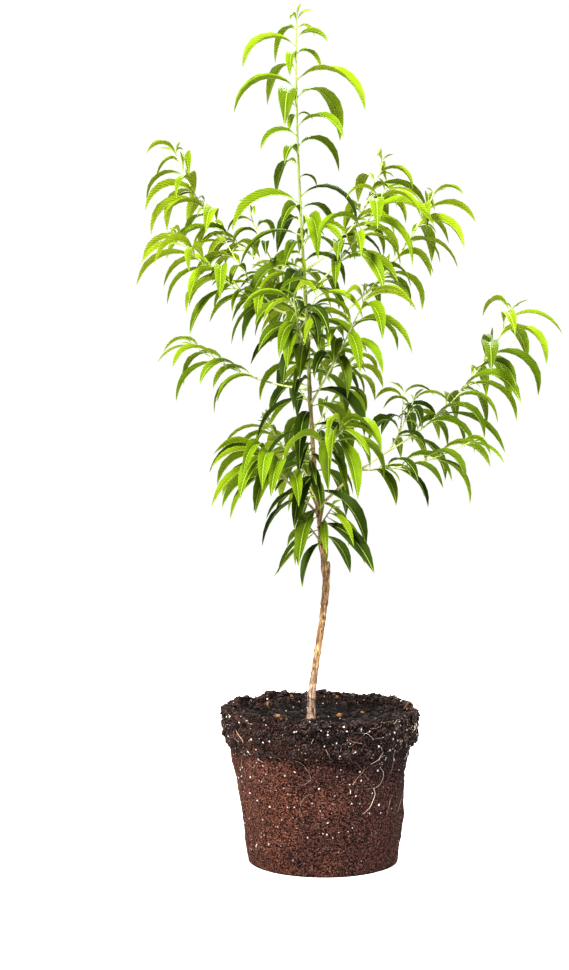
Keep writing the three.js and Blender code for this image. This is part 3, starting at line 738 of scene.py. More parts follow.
def half_width(leaf, share):
    """Half the blade's width at these shares. Near the stalk it is never less than the rib's own."""
    blade = np.clip((share - BLADE["stalk"]) / (1 - BLADE["stalk"]), 0, 1)
    outline = BLADE["scale"] * blade ** BLADE["rise"] * (1 - blade) ** BLADE["fall"]
    narrow = lerp(1.0, BLADE["young_width"], min(leaf.youth, 1))
    least = BLADE["root_half"] * (share < 0.5)
    return np.maximum(BLADE["widest"] * leaf.length * outline * narrow, least)


# %% One blade
MAP_UNIT = 100


def blade_points(leaf):
    """Points and map of one blade, row by row: five across its face, then the one under its rib."""
    place, way, side, top = along_rib(leaf, BLADE_SHARES)
    half = half_width(leaf, BLADE_SHARES)
    phase = 2 * math.pi * chance(leaf.stem, leaf.index, RIPPLE_STREAM)
    fold = BLADE["fold"] * lerp(*BLADE["fold_spread"], chance(leaf.stem, leaf.index, FOLD_STREAM))
    fold *= 1 + BLADE["young_fold"] * min(leaf.youth, BLADE["most_young"])
    points, mapped = [], []
    for u in ACROSS:
        wave = np.sin(2 * math.pi * BLADE["ripples"] * BLADE_SHARES + phase + u)
        lift = half * (fold * abs(u) - BLADE["roll_back"] * u * u + BLADE["ripple"] * u * u * wave)
        wide = half * u * math.cos(math.atan(fold) * BLADE["gather"])
        points.append(place + side * wide[:, None] + top * lift[:, None])
        mapped.append(np.stack([0.5 + half * u / MAP_UNIT, BLADE_SHARES * leaf.length / MAP_UNIT], 1))
    points.append(place - top * BLADE["under"])
    mapped.append(mapped[2])
    return np.stack(points, 1).reshape(-1, 3), np.stack(mapped, 1).reshape(-1, 2)


# %% Faces of a blade
def blade_faces(rows):
    """The faces of a blade's upper side and of its underside, as numbers of its points."""
    face_pairs = [(0, 1), (1, 2), (2, 3), (3, 4)]
    under_pairs = [(4, 5), (5, 0)]
    stalk_end = (5, 0, 1, 2, 3, 4)
    sides = []
    for pairs in (face_pairs, under_pairs):
        faces = []
        for row in range(rows - 1):
            here, next_row = row * LINES, (row + 1) * LINES
            for a, b in pairs:
                if row < rows - 2:
                    faces.append((here + b, here + a, next_row + a, next_row + b))
                else:
                    faces.append((here + b, here + a, next_row + 2))
        sides.append(faces)
    sides[1].append(stalk_end)
    return sides


BLADE_FACES = blade_faces(len(BLADE_SHARES))
print("faces of a blade:", sum(len(side) for side in BLADE_FACES))

# %% Many blades as one mesh
SHARP_ANGLE = 60


def blades_mesh(name, leaves, finishes):
    """One mesh of many blades. finishes: the material of their upper sides and of their undersides."""
    used = np.unique(np.concatenate([np.array(f) for side in BLADE_FACES for f in side]))
    fresh = {int(old): new for new, old in enumerate(used)}
    corners, loops, sizes, kinds, maps = [], [], [], [], []
    for leaf in leaves:
        points, spots = blade_points(leaf)
        base = len(corners) * len(used)
        corners.append(points[used])
        for kind, faces in enumerate(BLADE_FACES):
            for face in faces:
                loops.extend(base + fresh[n] for n in face)
                maps.append(spots[list(face)])
                sizes.append(len(face))
                kinds.append(kind)
    mesh = bpy.data.meshes.new(name)
    mesh.vertices.add(len(corners) * len(used))
    mesh.vertices.foreach_set("co", np.concatenate(corners).ravel() * MM)
    mesh.loops.add(len(loops))
    mesh.loops.foreach_set("vertex_index", loops)
    mesh.polygons.add(len(sizes))
    mesh.polygons.foreach_set("loop_start", np.concatenate([[0], np.cumsum(sizes)[:-1]]))
    for finish in finishes:
        mesh.materials.append(finish)
    mesh.polygons.foreach_set("material_index", kinds)
    margin = mesh.attributes.new("margin", "FLOAT", "POINT")
    across = np.array([abs(ACROSS[n % LINES]) if n % LINES < len(ACROSS) else 0.0 for n in used])
    margin.data.foreach_set("value", np.tile(across, len(corners)))
    leaf_map = mesh.uv_layers.new(name="Leaf")
    leaf_map.data.foreach_set("uv", np.vstack(maps).ravel())
    mesh.update(calc_edges=True)
    mesh.validate()
    mesh.set_sharp_from_angle(angle=math.radians(SHARP_ANGLE))
    return mesh


# %% [markdown]
# ## Leaf finishes
#
# Peach leaves run from lime on young tips through yellow green to deep green, with the deep tints inside
# the crown dealt out as painted shade, and each is paler and duller below. Side veins leave the rib at a
# slant every few millimetres. Above they lie sunken between swellings of the blade, with painted shade
# along them and in the fold by the rib; below they stand out and are paler, and the rib and the very
# margin are pale. All this could be painted as a picture of one leaf. Here it is worked out from the map
# that each blade carries, so it stays sharp and needs no file.

# %% Leaf materials
# On the map: the step between veins, their slant, how it grows outwards, and the shaded middle
VEIN_STEP, VEIN_SLANT, VEIN_CURVE, MIDDLE_SHADE = 0.052, 1.15, 2.2, (0.006, 0.055)
# In steps between veins: half the vein's line, and where the swelling starts and is full
VEIN_LINE, SWELLING = 0.17, (0.02, 0.42)
MOTTLE_SCALE, MOTTLE = 90, (0.3, 0.7)
MOTTLE_LIGHT, OUTER_LIGHT, SWELL_LIGHT = 0.2, 0.28, 0.52
EDGE, EDGE_PALE = (0.9, 0.97), 0.35
RIB_CORE, RIB_PALE, RIB_COLOUR = 0.3, 0.4, rgb("8fa144")
DARK_SHARE = 0.42
LEAF_SPECULAR = 0.06


def leaf_finish(name, colour, vein, line_share, groove_shade, rib_half, roughness, depth):
    """One side of a leaf. groove: painted shade along the sunken veins. line_share: how pale they stand out.
    """
    finish = Finish(name, roughness, LEAF_SPECULAR)
    across, along = finish.map_place()
    away = finish.maths("ABSOLUTE", across - 0.5)
    slanted = (along - away * VEIN_SLANT - away * away * VEIN_CURVE) / VEIN_STEP
    comb = finish.maths("PINGPONG", slanted, 0.5)
    line = finish.ramp(comb, 0.0, VEIN_LINE, 1.0, 0.0)
    swell = finish.ramp(comb, *SWELLING)
    rib = finish.ramp(away, RIB_CORE * rib_half, rib_half, 1.0, 0.0)
    mottle = finish.ramp(finish.noise(finish.place(), MOTTLE_SCALE), *MOTTLE)
    outer = finish.ramp(away, *MIDDLE_SHADE)
    # Painted shade: the blade fades towards a dark copy of its colour in the fold by the rib and along the
    # sunken veins. The mottle is the leaf's own tone.
    dark = tuple(c * DARK_SHARE for c in colour[:3]) + (1,)
    light = mottle * MOTTLE_LIGHT + outer * OUTER_LIGHT + (1 - (1 - swell) * groove_shade) * SWELL_LIGHT
    shade = finish.mix(light, dark, colour)
    margin = finish.node("ShaderNodeAttribute", {"attribute_name": "margin"}, out=2)
    pale = finish.maths("MAXIMUM", line * line_share, finish.ramp(margin, *EDGE) * EDGE_PALE)
    veined = finish.mix(pale, shade, vein)
    finish.set("Base Color", finish.mix(rib * RIB_PALE, veined, RIB_COLOUR))
    finish.bump(swell, depth)
    return finish.material


# %% Tints of the leaves
# upper side, its veins, underside
TINTS = {
    "lime": ("6a7d0a", "879533", "81911e"),
    "bright": ("607509", "80912d", "6e8217"),
    "mid": ("4b5d06", "677622", "596d14"),
    "deep": ("2d3e04", "4b5d17", "425612"),
}
UPPER = dict(line_share=0.1, groove_shade=1.0, rib_half=0.0095, roughness=0.56, depth=0.00012)
UNDER = dict(line_share=0.3, groove_shade=0.35, rib_half=0.015, roughness=0.65, depth=-0.0002)
leaf_materials = {
    tint: (
        leaf_finish("leaf_" + tint, rgb(colour), rgb(vein), **UPPER),
        leaf_finish("underleaf_" + tint, rgb(under), rgb(vein), **UNDER),
    )
    for tint, (colour, vein, under) in TINTS.items()
}
print("leaf finishes:", 2 * len(leaf_materials))

# %% [markdown]
# The tint of a leaf is dealt out whole: brighter on young leaves, brighter towards the outside and the
# top of the crown as painted light and deeper inside it as painted shade, with some chance for its spray
# and some for itself. A shader that reads the place could do it too, but it would run two tints together
# on one leaf. Some masses get more painted shade and come out deeper, and one gets painted light and
# comes out brighter.

# %% Deal the tints out and build the blades
TINT_ORDER = ("deep", "mid", "bright", "lime")
TINT_BOUNDS = (0.28, 0.55, 0.92)
CROWN_MIDDLE, CROWN_HALF = -15.0, 210.0
CROWN_LOW, CROWN_HEIGHT = 420, 700
OUTSIDE_PAINTED_LIGHT, TOP_PAINTED_LIGHT, YOUNG_SHARE, SPRAY_SHARE, OWN_SHARE = 0.95, 0.55, 0.35, 0.35, 0.75
TINT_POINT = 12
SPRAY_STEM, SPRAY_STREAM, TINT_STREAM = 700, 1, 14
# painted shade on each of these masses, which deepens their tints; below zero it is painted light
MASS_PAINTED_SHADE = {
    "foliage_leader": 0.26,
    "foliage_front_high": 0.3,
    "foliage_right_middle": 0.15,
    "foliage_front_low": 0.15,
    "foliage_left_low": -0.3,
    "foliage_right_low": 0.4,
    "foliage_right_low_outer": 0.62,
    "foliage_right_low_inner": 0.5,
    "foliage_right_low_under": 0.48,
}


def tint_of(stem, leaf):
    point = leaf.places[TINT_POINT]
    out = math.hypot(point[0] - CROWN_MIDDLE, point[1]) / CROWN_HALF
    high = (point[2] - CROWN_LOW) / CROWN_HEIGHT
    spray = chance(SPRAY_STEM + leaf.stem, 0, SPRAY_STREAM) - 0.5
    own = chance(leaf.stem, leaf.index, TINT_STREAM) - 0.5
    # Painted light brightens leaves towards the outside and the top of the crown; the table above takes
    # painted shade off some masses.
    score = OUTSIDE_PAINTED_LIGHT * out + TOP_PAINTED_LIGHT * high + YOUNG_SHARE * (leaf.youth > 0)
    score += SPRAY_SHARE * spray + OWN_SHARE * own - MASS_PAINTED_SHADE.get(stem.mass, 0)
    return TINT_ORDER[int(np.digitize(score, TINT_BOUNDS))]


all_leaves = [(s, leaf) for s in (*stems, leader_stem) for leaf in s.leaves] + fine_leaves
pieces = {}
for tint in TINT_ORDER:
    chosen = [leaf for s, leaf in all_leaves if tint_of(s, leaf) == tint]
    mesh = blades_mesh("leaves_" + tint, chosen, leaf_materials[tint])
    pieces["leaves_" + tint] = placed_object("leaves_" + tint, mesh)
    mesh.calc_loop_triangles()
    print("leaves", tint, len(chosen), "triangles", len(mesh.loop_triangles))

# %% [markdown]
# ## Growth trees
#
# What follows a path or covers a surface is made by Geometry Nodes: bark round the limbs, ribs along
# the leaves, crumbs on the soil. Python could place every point of it, but a tree of nodes is quicker
# and shows its few sizes by name. growth_graph opens such a tree, and grow() runs it on a mesh and
# keeps the result as a plain mesh.


# %% Growth tree helpers
def growth_graph(name, **sizes):
    tree = bpy.data.node_groups.new(name, "GeometryNodeTree")
    tree.is_modifier = True
    tree.interface.new_socket("Geometry", in_out="INPUT", socket_type="NodeSocketGeometry")
    for size, value in sizes.items():
        kind = "Int" if isinstance(value, int) else "Float"
        socket = tree.interface.new_socket(size, in_out="INPUT", socket_type="NodeSocket" + kind)
        socket.default_value = value
    tree.interface.new_socket("Finish", in_out="INPUT", socket_type="NodeSocketMaterial")
    tree.interface.new_socket("Geometry", in_out="OUTPUT", socket_type="NodeSocketGeometry")
    graph = Graph(tree)
    entry = tree.nodes.new("NodeGroupInput")
    graph.given = {o.name: Value(graph, o) for o in entry.outputs if o.name}
    return graph


def close_graph(graph, geometry):
    """The end of every growth tree: real geometry instead of instances, smooth, with its finish."""
    whole = graph.node("GeometryNodeRealizeInstances", None, {0: geometry})
    smooth = graph.node("GeometryNodeSetShadeSmooth", None, {0: whole})
    finished = graph.node("GeometryNodeSetMaterial", None, {0: smooth, "Material": graph.given["Finish"]})
    exit_node = graph.tree.nodes.new("NodeGroupOutput")
    graph.tree.links.new(finished.socket, exit_node.inputs[0])


def grow(graph, start, name, finish, **sizes):
    """Runs a growth tree on a mesh, and returns what grew as a plain object."""
    rough = placed_object(name + "_start", start)
    modifier = rough.modifiers.new("growth", "NODES")
    modifier.node_group = graph.tree
    for item in graph.tree.interface.items_tree:
        if item.in_out == "INPUT" and item.name in sizes:
            modifier[item.identifier] = sizes[item.name]
        elif item.in_out == "INPUT" and item.name == "Finish":
            modifier[item.identifier] = finish
    ready = bpy.context.evaluated_depsgraph_get()
    mesh = bpy.data.meshes.new_from_object(rough.evaluated_get(ready), depsgraph=ready)
    bpy.data.objects.remove(rough)
    mesh.name = name
    mesh.calc_loop_triangles()
    print(name, "triangles", len(mesh.loop_triangles))
    pieces[name] = placed_object(name, mesh)
    return pieces[name]


# %% Paths with their girth
def path_mesh(name, paths):
    """Lines as a mesh of edges. Each path is its points in mm and its radius at each."""
    corners, edges, girths, base = [], [], [], 0
    for points, girth in paths:
        corners.append(points)
        girths.append(girth)
        edges += [(base + i, base + i + 1) for i in range(len(points) - 1)]
        base += len(points)
    mesh = bpy.data.meshes.new(name)
    mesh.from_pydata((np.vstack(corners) * MM).tolist(), edges, [])
    attribute = mesh.attributes.new("girth", "FLOAT", "POINT")
    attribute.data.foreach_set("value", np.concatenate(girths) * MM)
    return mesh


# %% [markdown]
# ## Bark
#
# One growth tree clothes every path: a ring of the path's own radius runs along it, and noise that is
# drawn out along the limb moves the skin in and out. A Skin modifier could clothe the paths as well,
# but it gives less say over the number of sides and the ends. The old trunk has deep relief, young
# boughs hardly any.

# %% Skin along a path
SKIN_ROUGHNESS = 0.6

skin_graph = growth_graph("skin_along_path", Sides=8, Relief=0.0001, Grain=400.0, Stretch=0.3)
given = skin_graph.given
girth = skin_graph.node("GeometryNodeInputNamedAttribute", {"data_type": "FLOAT"}, {"Name": "girth"})
line = skin_graph.node("GeometryNodeMeshToCurve", None, {0: given["Geometry"]})
ring = skin_graph.node("GeometryNodeCurvePrimitiveCircle", None, {"Resolution": given["Sides"]})
tube = skin_graph.node("GeometryNodeCurveToMesh", None, {
    "Curve": line, "Profile Curve": ring, "Scale": girth, "Fill Caps": True})
x, y, z = skin_graph.parts(skin_graph.node("GeometryNodeInputPosition"))
drawn = skin_graph.node("ShaderNodeCombineXYZ", None, {0: x, 1: y, 2: z * given["Stretch"]})
rough = skin_graph.noise(drawn, given["Grain"], roughness=SKIN_ROUGHNESS) - 0.5
normal = skin_graph.node("GeometryNodeInputNormal")
push = skin_graph.scaled(normal, rough * given["Relief"] * 2)
moved = skin_graph.node("GeometryNodeSetPosition", None, {0: tube, "Offset": push})
close_graph(skin_graph, moved)
print("nodes in the skin tree:", len(skin_graph.tree.nodes))

# %% [markdown]
# The trunk's bark is tan with dark flecks and short level dashes, pinkish grey near the soil. It
# turns green up the leader, where the wood is this year's. A picture of bark could be wrapped round
# the stem, but it would have a seam and one scale for all girths. Colour and bump here read the place
# and the height on the piece, so each change falls where it does on the real stem.

# %% Old bark
FOOT_FADE, GREEN_FADE, OLD_FADE = (0.2, 0.29), (0.56, 0.78), (0.42, 0.75)
GREEN_WANDER, CREAM_SHARE, STREAK_SHARE, MARKS_ON_YOUNG_WOOD = 0.12, 0.6, 0.75, 0.2
ALONG = (1, 1, 0.3)


def flecks(finish, size, edge, stretch=(1, 1, 1)):
    """Spots of about this size in metres. edge: where in the noise they start and are full."""
    spots = finish.noise(finish.place(stretch), 1 / size, detail=2, roughness=0.6)
    return finish.ramp(spots, *edge)


bark = Finish("trunk_bark", roughness=0.78, specular=0.3)
height = bark.height()
wander = bark.noise(bark.place(ALONG), scale=60)
tan = bark.mix(wander, rgb("6a4e35"), rgb("977d5b"))
cream = flecks(bark, size=0.004, edge=(0.5, 0.62), stretch=ALONG)
tan = bark.mix(cream * CREAM_SHARE, tan, rgb("bfa67f"))
foot = bark.mix(bark.ramp(height, *FOOT_FADE), bark.mix(cream, rgb("8c776b"), rgb("b8a497")), tan)
young = bark.mix(wander, rgb("64712c"), rgb("838f4c"))
skin = bark.mix(bark.ramp(height + wander * GREEN_WANDER, *GREEN_FADE), foot, young)
streaks = flecks(bark, size=0.0022, edge=(0.5, 0.58), stretch=(1, 1, 0.14))
dark = bark.mix(streaks * STREAK_SHARE, skin, rgb("573b26"))
dark = bark.mix(flecks(bark, size=0.0035, edge=(0.56, 0.64), stretch=(1, 1, 0.4)), dark, rgb("3a2819"))
dashes = flecks(bark, size=0.003, edge=(0.64, 0.7), stretch=(0.4, 0.4, 2.2))
dark = bark.mix(dashes, dark, rgb("33231a"))
old = bark.ramp(height, *OLD_FADE, 1.0, MARKS_ON_YOUNG_WOOD)
bark.set("Base Color", bark.mix(old, skin, dark))
bark.bump(bark.noise(bark.place((1, 1, 0.22)), scale=700, detail=4, roughness=0.65), depth=0.0009)
print("nodes in the trunk's bark:", len(bark.tree.nodes))

# %% Young bark
TWIG_GREEN_FADE, TWIG_GREEN_WANDER = (0.5, 0.66), 0.1

twig_bark = Finish("bough_bark", roughness=0.6, specular=0.4)
shade = twig_bark.noise(twig_bark.place(), scale=55)
height = twig_bark.height()
green = twig_bark.mix(shade, rgb("87934f"), rgb("b3ba84"))
brown = twig_bark.mix(shade, rgb("6e5c3a"), rgb("95835a"))
skin = twig_bark.mix(twig_bark.ramp(height + shade * TWIG_GREEN_WANDER, *TWIG_GREEN_FADE), brown, green)
spots = flecks(twig_bark, size=0.003, edge=(0.6, 0.7))
twig_bark.set("Base Color", twig_bark.mix(spots, skin, rgb("453e20")))
twig_bark.bump(twig_bark.noise(twig_bark.place(), scale=900), depth=0.0004)
print("nodes in young bark:", len(twig_bark.tree.nodes))

# %% [markdown]
# The trunk's line and girth come from its stations. Old wood is never an even cone: it swells a little
# at each old node, at each bough and where stub and leader part, and its cut top is rounded. A few
# bell curves on the radius make these, so they need no sculpting.

# %% Girth of trunk, leader and stub
RING_STEP = 2.2
TRUNK_LENGTH, LEADER_LENGTH, TOP_LENGTH = 216, 518, 232
ROOT_SINK, ROOT_LEAN, ROOT_GIRTH = 7, 0.6, 9.5
NODE_STEP, NODE_SWELL, NODE_REACH = 21, 0.5, 3.0
LEADER_SLIM, SLIM_WITHIN = 0.86, 0.25
BOUGH_SWELL, BOUGH_REACH = 0.55, 4.0
COLLAR_SWELL, COLLAR_HEIGHT, COLLAR_REACH = 1.2, 392, 9.0
STUB_TOP, STUB_ROUND, STUB_LEAST = 403, 3.0, 0.72


def stations(curve, start, end, length, girth_at):
    """Points along a curve with a radius at each."""
    shares = np.linspace(start, end, max(int(length * (end - start) / RING_STEP), 3))
    return np.array([curve.place(s) for s in shares]), np.array([girth_at(s) for s in shares])


def bell(gap, reach):
    return np.exp(-((gap / reach) ** 2))


def leader_girth(share):
    return LEADER.girth(share) * lerp(1, LEADER_SLIM, min(share / SLIM_WITHIN, 1))


def top_girth(share):
    return lerp(LEADER.girths[-1] * LEADER_SLIM, TWIG_TIP, share)


# %% Clothe the trunk and the leader
trunk_points, trunk_girths = stations(TRUNK, 0, 1, TRUNK_LENGTH, TRUNK.girth)
foot = np.array([[trunk_points[0][0] - ROOT_LEAN, 0, SOIL_TOP - ROOT_SINK]])
trunk_points = np.vstack([foot, trunk_points])
trunk_girths = np.concatenate([[ROOT_GIRTH], trunk_girths])
trunk_girths += NODE_SWELL * bell(trunk_points[:, 2] % NODE_STEP - NODE_STEP / 2, NODE_REACH)
rounding = np.clip((STUB_TOP - trunk_points[:, 2]) / STUB_ROUND, 0, 1)
trunk_girths *= lerp(STUB_LEAST, 1.0, np.sqrt(rounding))

leader_points, leader_girths = stations(LEADER, 0, 1, LEADER_LENGTH, leader_girth)
top_points, top_girths = stations(top_curve, 0, 1, TOP_LENGTH, top_girth)
upper_points = np.vstack([leader_points, top_points[1:]])
upper_girths = np.concatenate([leader_girths, top_girths[1:]])
swelling = np.zeros(len(upper_points))
for row in BOUGHS.values():
    swelling += BOUGH_SWELL * bell(upper_points[:, 2] - leader_point(row[0])[2], BOUGH_REACH)
swelling += COLLAR_SWELL * bell(upper_points[:, 2] - COLLAR_HEIGHT, COLLAR_REACH)
trunk_paths = [(trunk_points, trunk_girths), (upper_points, upper_girths + swelling)]
grow(skin_graph, path_mesh("trunk_path", trunk_paths), "trunk_bark", bark.material,
     Sides=28, Relief=0.00045, Grain=420.0, Stretch=0.28)

# %% [markdown]
# Boughs and twigs are clothed by the same tree with finer relief. Each is stout where it leaves its
# parent, thins quickly and then slowly, and is a little thicker wherever a leaf stands.

# %% Boughs and twigs
limb_paths = []
LEAF_SWELL, LEAF_SWELL_REACH = 0.3, 1.8
BOUGH_SLIM, TAPER, BUTT_FLARE, FLARE_REACH, BARE_TIP = 0.66, 0.7, 0.9, 6.0, 1.3


def with_nodes(stem, points, girths, curve):
    """Swellings where leaves stand."""
    for leaf in stem.leaves:
        gap = np.linalg.norm(points - curve.place(leaf.share), axis=1)
        girths = girths + LEAF_SWELL * bell(gap, LEAF_SWELL_REACH)
    return girths


by_mass = {s.mass: s for s in stems if s.start > 0}
for name, curve in bough_curves.items():
    butt, end, bare = bough_girths[name]
    tip = TWIG_TIP if bare < 1 else BARE_TIP

    def girth_at(share):
        flare = BUTT_FLARE * math.exp(-share * curve.length / FLARE_REACH)
        return lerp(butt * BOUGH_SLIM, tip, share**TAPER) + flare

    points, girths = stations(curve, 0, 1, curve.length, girth_at)
    if "foliage_" + name in by_mass:
        girths = with_nodes(by_mass["foliage_" + name], points, girths, curve)
    limb_paths.append((points, girths))
for stem in stems:
    if stem.start > 0 or stem.mass == "foliage_leader":
        continue
    points, girths = stations(
        stem.curve, 0, 1, stem.curve.length, lambda s: lerp(stem.butt * BOUGH_SLIM, TWIG_TIP, s**TAPER))
    limb_paths.append((points, with_nodes(stem, points, girths, stem.curve)))
grow(skin_graph, path_mesh("limb_paths", limb_paths), "bough_bark", twig_bark.material,
     Sides=9, Relief=0.00016, Grain=600.0, Stretch=1.0)

# %% [markdown]
# ## Ribs and stalks
#
# Each leaf's stalk runs on as its rib, pale yellow green, standing proud under the blade and just
# showing on its face. A pale stripe in the finish alone would stay flat from below and leave the leaf
# without a stalk. The same skin tree draws the ribs, with few sides. They use the blade's own rows, so
# they bend where the blade bends.

# %% Ribs and stalks
rib_finish = Finish("leaf_rib", roughness=0.5, specular=0.4)
tone = rib_finish.noise(rib_finish.place(), scale=40, detail=2)
rib_finish.set("Base Color", rib_finish.mix(tone, rgb("738633"), rgb("93a254")))

RIB_END = 0.97
RIB_SHARES = np.concatenate([[0, BLADE_SHARES[0] / 2], BLADE_SHARES[:-1], [RIB_END]])
RIB_GIRTHS, RIB_TAPER, RIB_SINK = (0.78, 0.14), 0.7, 0.45
RIB_LENGTH, RIB_MOST = 90, 1.15
rib_paths = []
for stem, leaf in all_leaves:
    place, way, side, top = along_rib(leaf, RIB_SHARES)
    size = min(leaf.length / RIB_LENGTH, RIB_MOST)
    girths = size * lerp(*RIB_GIRTHS, RIB_SHARES**RIB_TAPER)
    rib_paths.append((place - top * (girths * RIB_SINK)[:, None], girths))
grow(skin_graph, path_mesh("rib_paths", rib_paths), "leaf_ribs", rib_finish.material,
     Sides=4, Relief=0.0, Grain=400.0, Stretch=1.0)

# %% [markdown]
# ## Buds
#
# Next year's bud sits in the angle between every grown leaf and its limb: a small swollen cone that
# leans up the limb. Hundreds of copies could be placed by Python. It is simpler to shape one cone in a
# growth tree and set it on points that carry the way they lean.

# %% Buds in the axils
BUD_SWELL = 3.4

bud_graph = growth_graph("buds", Sides=6, Width=0.00085, Length=0.0032, Swell=BUD_SWELL)
given = bud_graph.given
cone = bud_graph.node("GeometryNodeMeshCone", None, {
    "Vertices": given["Sides"], "Side Segments": 3, "Radius Top": 0.0,
    "Radius Bottom": given["Width"], "Depth": given["Length"]})
x, y, z = bud_graph.parts(bud_graph.node("GeometryNodeInputPosition"))
up = z / given["Length"]
fuller = 1 + up * (1 - up) * given["Swell"]
swollen = bud_graph.node("ShaderNodeCombineXYZ", None, {0: x * fuller, 1: y * fuller, 2: z})
cone = bud_graph.node("GeometryNodeSetPosition", None, {0: cone, "Position": swollen})
lean = bud_graph.node("GeometryNodeInputNamedAttribute", {"data_type": "FLOAT_VECTOR"}, {"Name": "lean"})
turned = bud_graph.node("FunctionNodeAlignRotationToVector", {"axis": "Z"}, {"Vector": lean})
buds = bud_graph.node("GeometryNodeInstanceOnPoints", None, {
    "Points": given["Geometry"], "Instance": cone, "Rotation": turned})
close_graph(bud_graph, buds)
print("nodes in the bud tree:", len(bud_graph.tree.nodes))

# %% Set the buds
BUD_UP, BUD_SUNK, BUD_LEAN = 1.6, 0.85, 0.55
BUD_TONES = (0.4, 0.6)

wood = np.vstack([points for points, _ in limb_paths] + [upper_points])
wood_girths = np.concatenate([girths for _, girths in limb_paths] + [upper_girths])
bud_places, bud_leans = [], []
for stem, leaf in all_leaves:
    if leaf.youth > 0:
        continue
    centre, along = leaf.seat[:2]
    girth_here = wood_girths[np.linalg.norm(wood - centre, axis=1).argmin()]
    aside = unit(leaf.along[0] - along * (leaf.along[0] @ along))
    bud_places.append(centre + along * BUD_UP + aside * girth_here * BUD_SUNK)
    bud_leans.append(unit(along + aside * BUD_LEAN))
bud_points = bpy.data.meshes.new("bud_points")
bud_points.from_pydata([tuple(place * MM) for place in bud_places], [], [])
bud_points.attributes.new("lean", "FLOAT_VECTOR", "POINT").data.foreach_set("vector", np.ravel(bud_leans))

bud_finish = Finish("bud_scale", roughness=0.6, specular=0.3)
tone = bud_finish.ramp(bud_finish.noise(bud_finish.place(), scale=600, detail=2), *BUD_TONES)
bud_finish.set("Base Color", bud_finish.mix(tone, rgb("6d5a37"), rgb("97955c")))
grow(bud_graph, bud_points, "axil_buds", bud_finish.material, Swell=BUD_SWELL)
print("buds:", len(bud_places))

# %% [markdown]
# ## Root ball
#
# The plug of potting mix keeps the pot's taper, its rim and the sunken soil inside it. It could be a
# plain turned shape with noise on it, but the solid's ball wanders a little from ring to ring and its
# crest is uneven. So the skin is set out from the same rows as the solid, smoothed between its
# corners. A growth tree then roughens it at three scales: lumps, crumbs and grains. The attribute
# crumbly says how loose the mix is: most at the collar and rim.

# %% Ball outline
BALL = dict(
    height=206, foot=101, waist=120, collar=130, collar_height=50, step=7, rim=15, lean=-5, sides=24)
LUMP, RIM_LUMP, BALL_RING, BALL_CREST = 3, 6, 900, 950
LUMP_STREAM, CREST_STREAM, CREST_MIDDLE = 1, 2, 0.4
CRUMBLED = 8
foot_radius, waist_radius, collar_radius = BALL["foot"], BALL["waist"], BALL["collar"]
crest, rim = BALL["height"], BALL["rim"]
collar_foot = crest - BALL["collar_height"] + CRUMBLED
# radius, height, crumbliness
OUTLINE = [
    (foot_radius, 0, 0.15),
    (lerp(foot_radius, waist_radius, 0.35), collar_foot * 0.35, 0.3),
    (lerp(foot_radius, waist_radius, 0.7), collar_foot * 0.7, 0.35),
    (waist_radius, collar_foot - BALL["step"], 0.5),
    (collar_radius - 2, collar_foot, 0.75),
    (collar_radius + 1.5, collar_foot + 20, 0.75),
    (collar_radius - 1, crest - 4, 1.0),
    (collar_radius - rim * 0.5, crest, 1.0),
    (collar_radius - rim * 1.2, SOIL_TOP + 6, 1.0),
    (collar_radius - rim * 2.2, SOIL_TOP, 1.0),
    (50, SOIL_TOP, 1.0),
    (6, SOIL_TOP, 1.0),
]
CREST_ROW, UNEVEN_ROWS = 7, 10
print("root ball in mm:", 2 * collar_radius, "wide at its collar,", crest, "high")

# %% Rings of the ball
BALL_SIDES, BALL_STEP = 300, 2.6


def ball_shifts(row, angle):
    """How far the solid's radius and crest wander here, smoothed between its corners."""
    at = angle / (2 * math.pi) * BALL["sides"]
    k = int(at) % BALL["sides"]
    t = (1 - math.cos(math.pi * (at - int(at)))) / 2
    corners = [n % BALL["sides"] for n in (k, k + 1)]
    lump = [(chance(BALL_RING + row, n, LUMP_STREAM) - 0.5) * 2 * LUMP for n in corners]
    rise = [(chance(BALL_CREST, n, CREST_STREAM) - CREST_MIDDLE) * RIM_LUMP for n in corners]
    return lerp(*lump, t), lerp(*rise, t)


angles = np.linspace(0, 2 * math.pi, BALL_SIDES, endpoint=False)
level_ring = np.zeros(BALL_SIDES)
shifts = np.array([[ball_shifts(row, a) for a in angles] for row in range(UNEVEN_ROWS)])
rings = []
for row, ((r0, z0, c0), (r1, z1, c1)) in enumerate(zip(OUTLINE, OUTLINE[1:])):
    steps = max(int(math.hypot(r1 - r0, z1 - z0) / BALL_STEP), 2)
    for t in np.arange(steps) / steps:
        outward, upward = [], []
        for k, share in ((row, 1 - t), (row + 1, t)):
            uneven = k < UNEVEN_ROWS and OUTLINE[k][1] not in (0, SOIL_TOP)
            outward.append(shifts[k, :, 0] * share if uneven else 0)
            upward.append(shifts[k, :, 1] * share if k == CREST_ROW else 0)
        radii = lerp(r0, r1, t) + sum(outward) + level_ring
        rings.append((radii, lerp(z0, z1, t) + sum(upward) + level_ring, lerp(c0, c1, t)))
rings.append((OUTLINE[-1][0] + level_ring, OUTLINE[-1][1] + level_ring, OUTLINE[-1][2]))
print("ball rings:", len(rings))

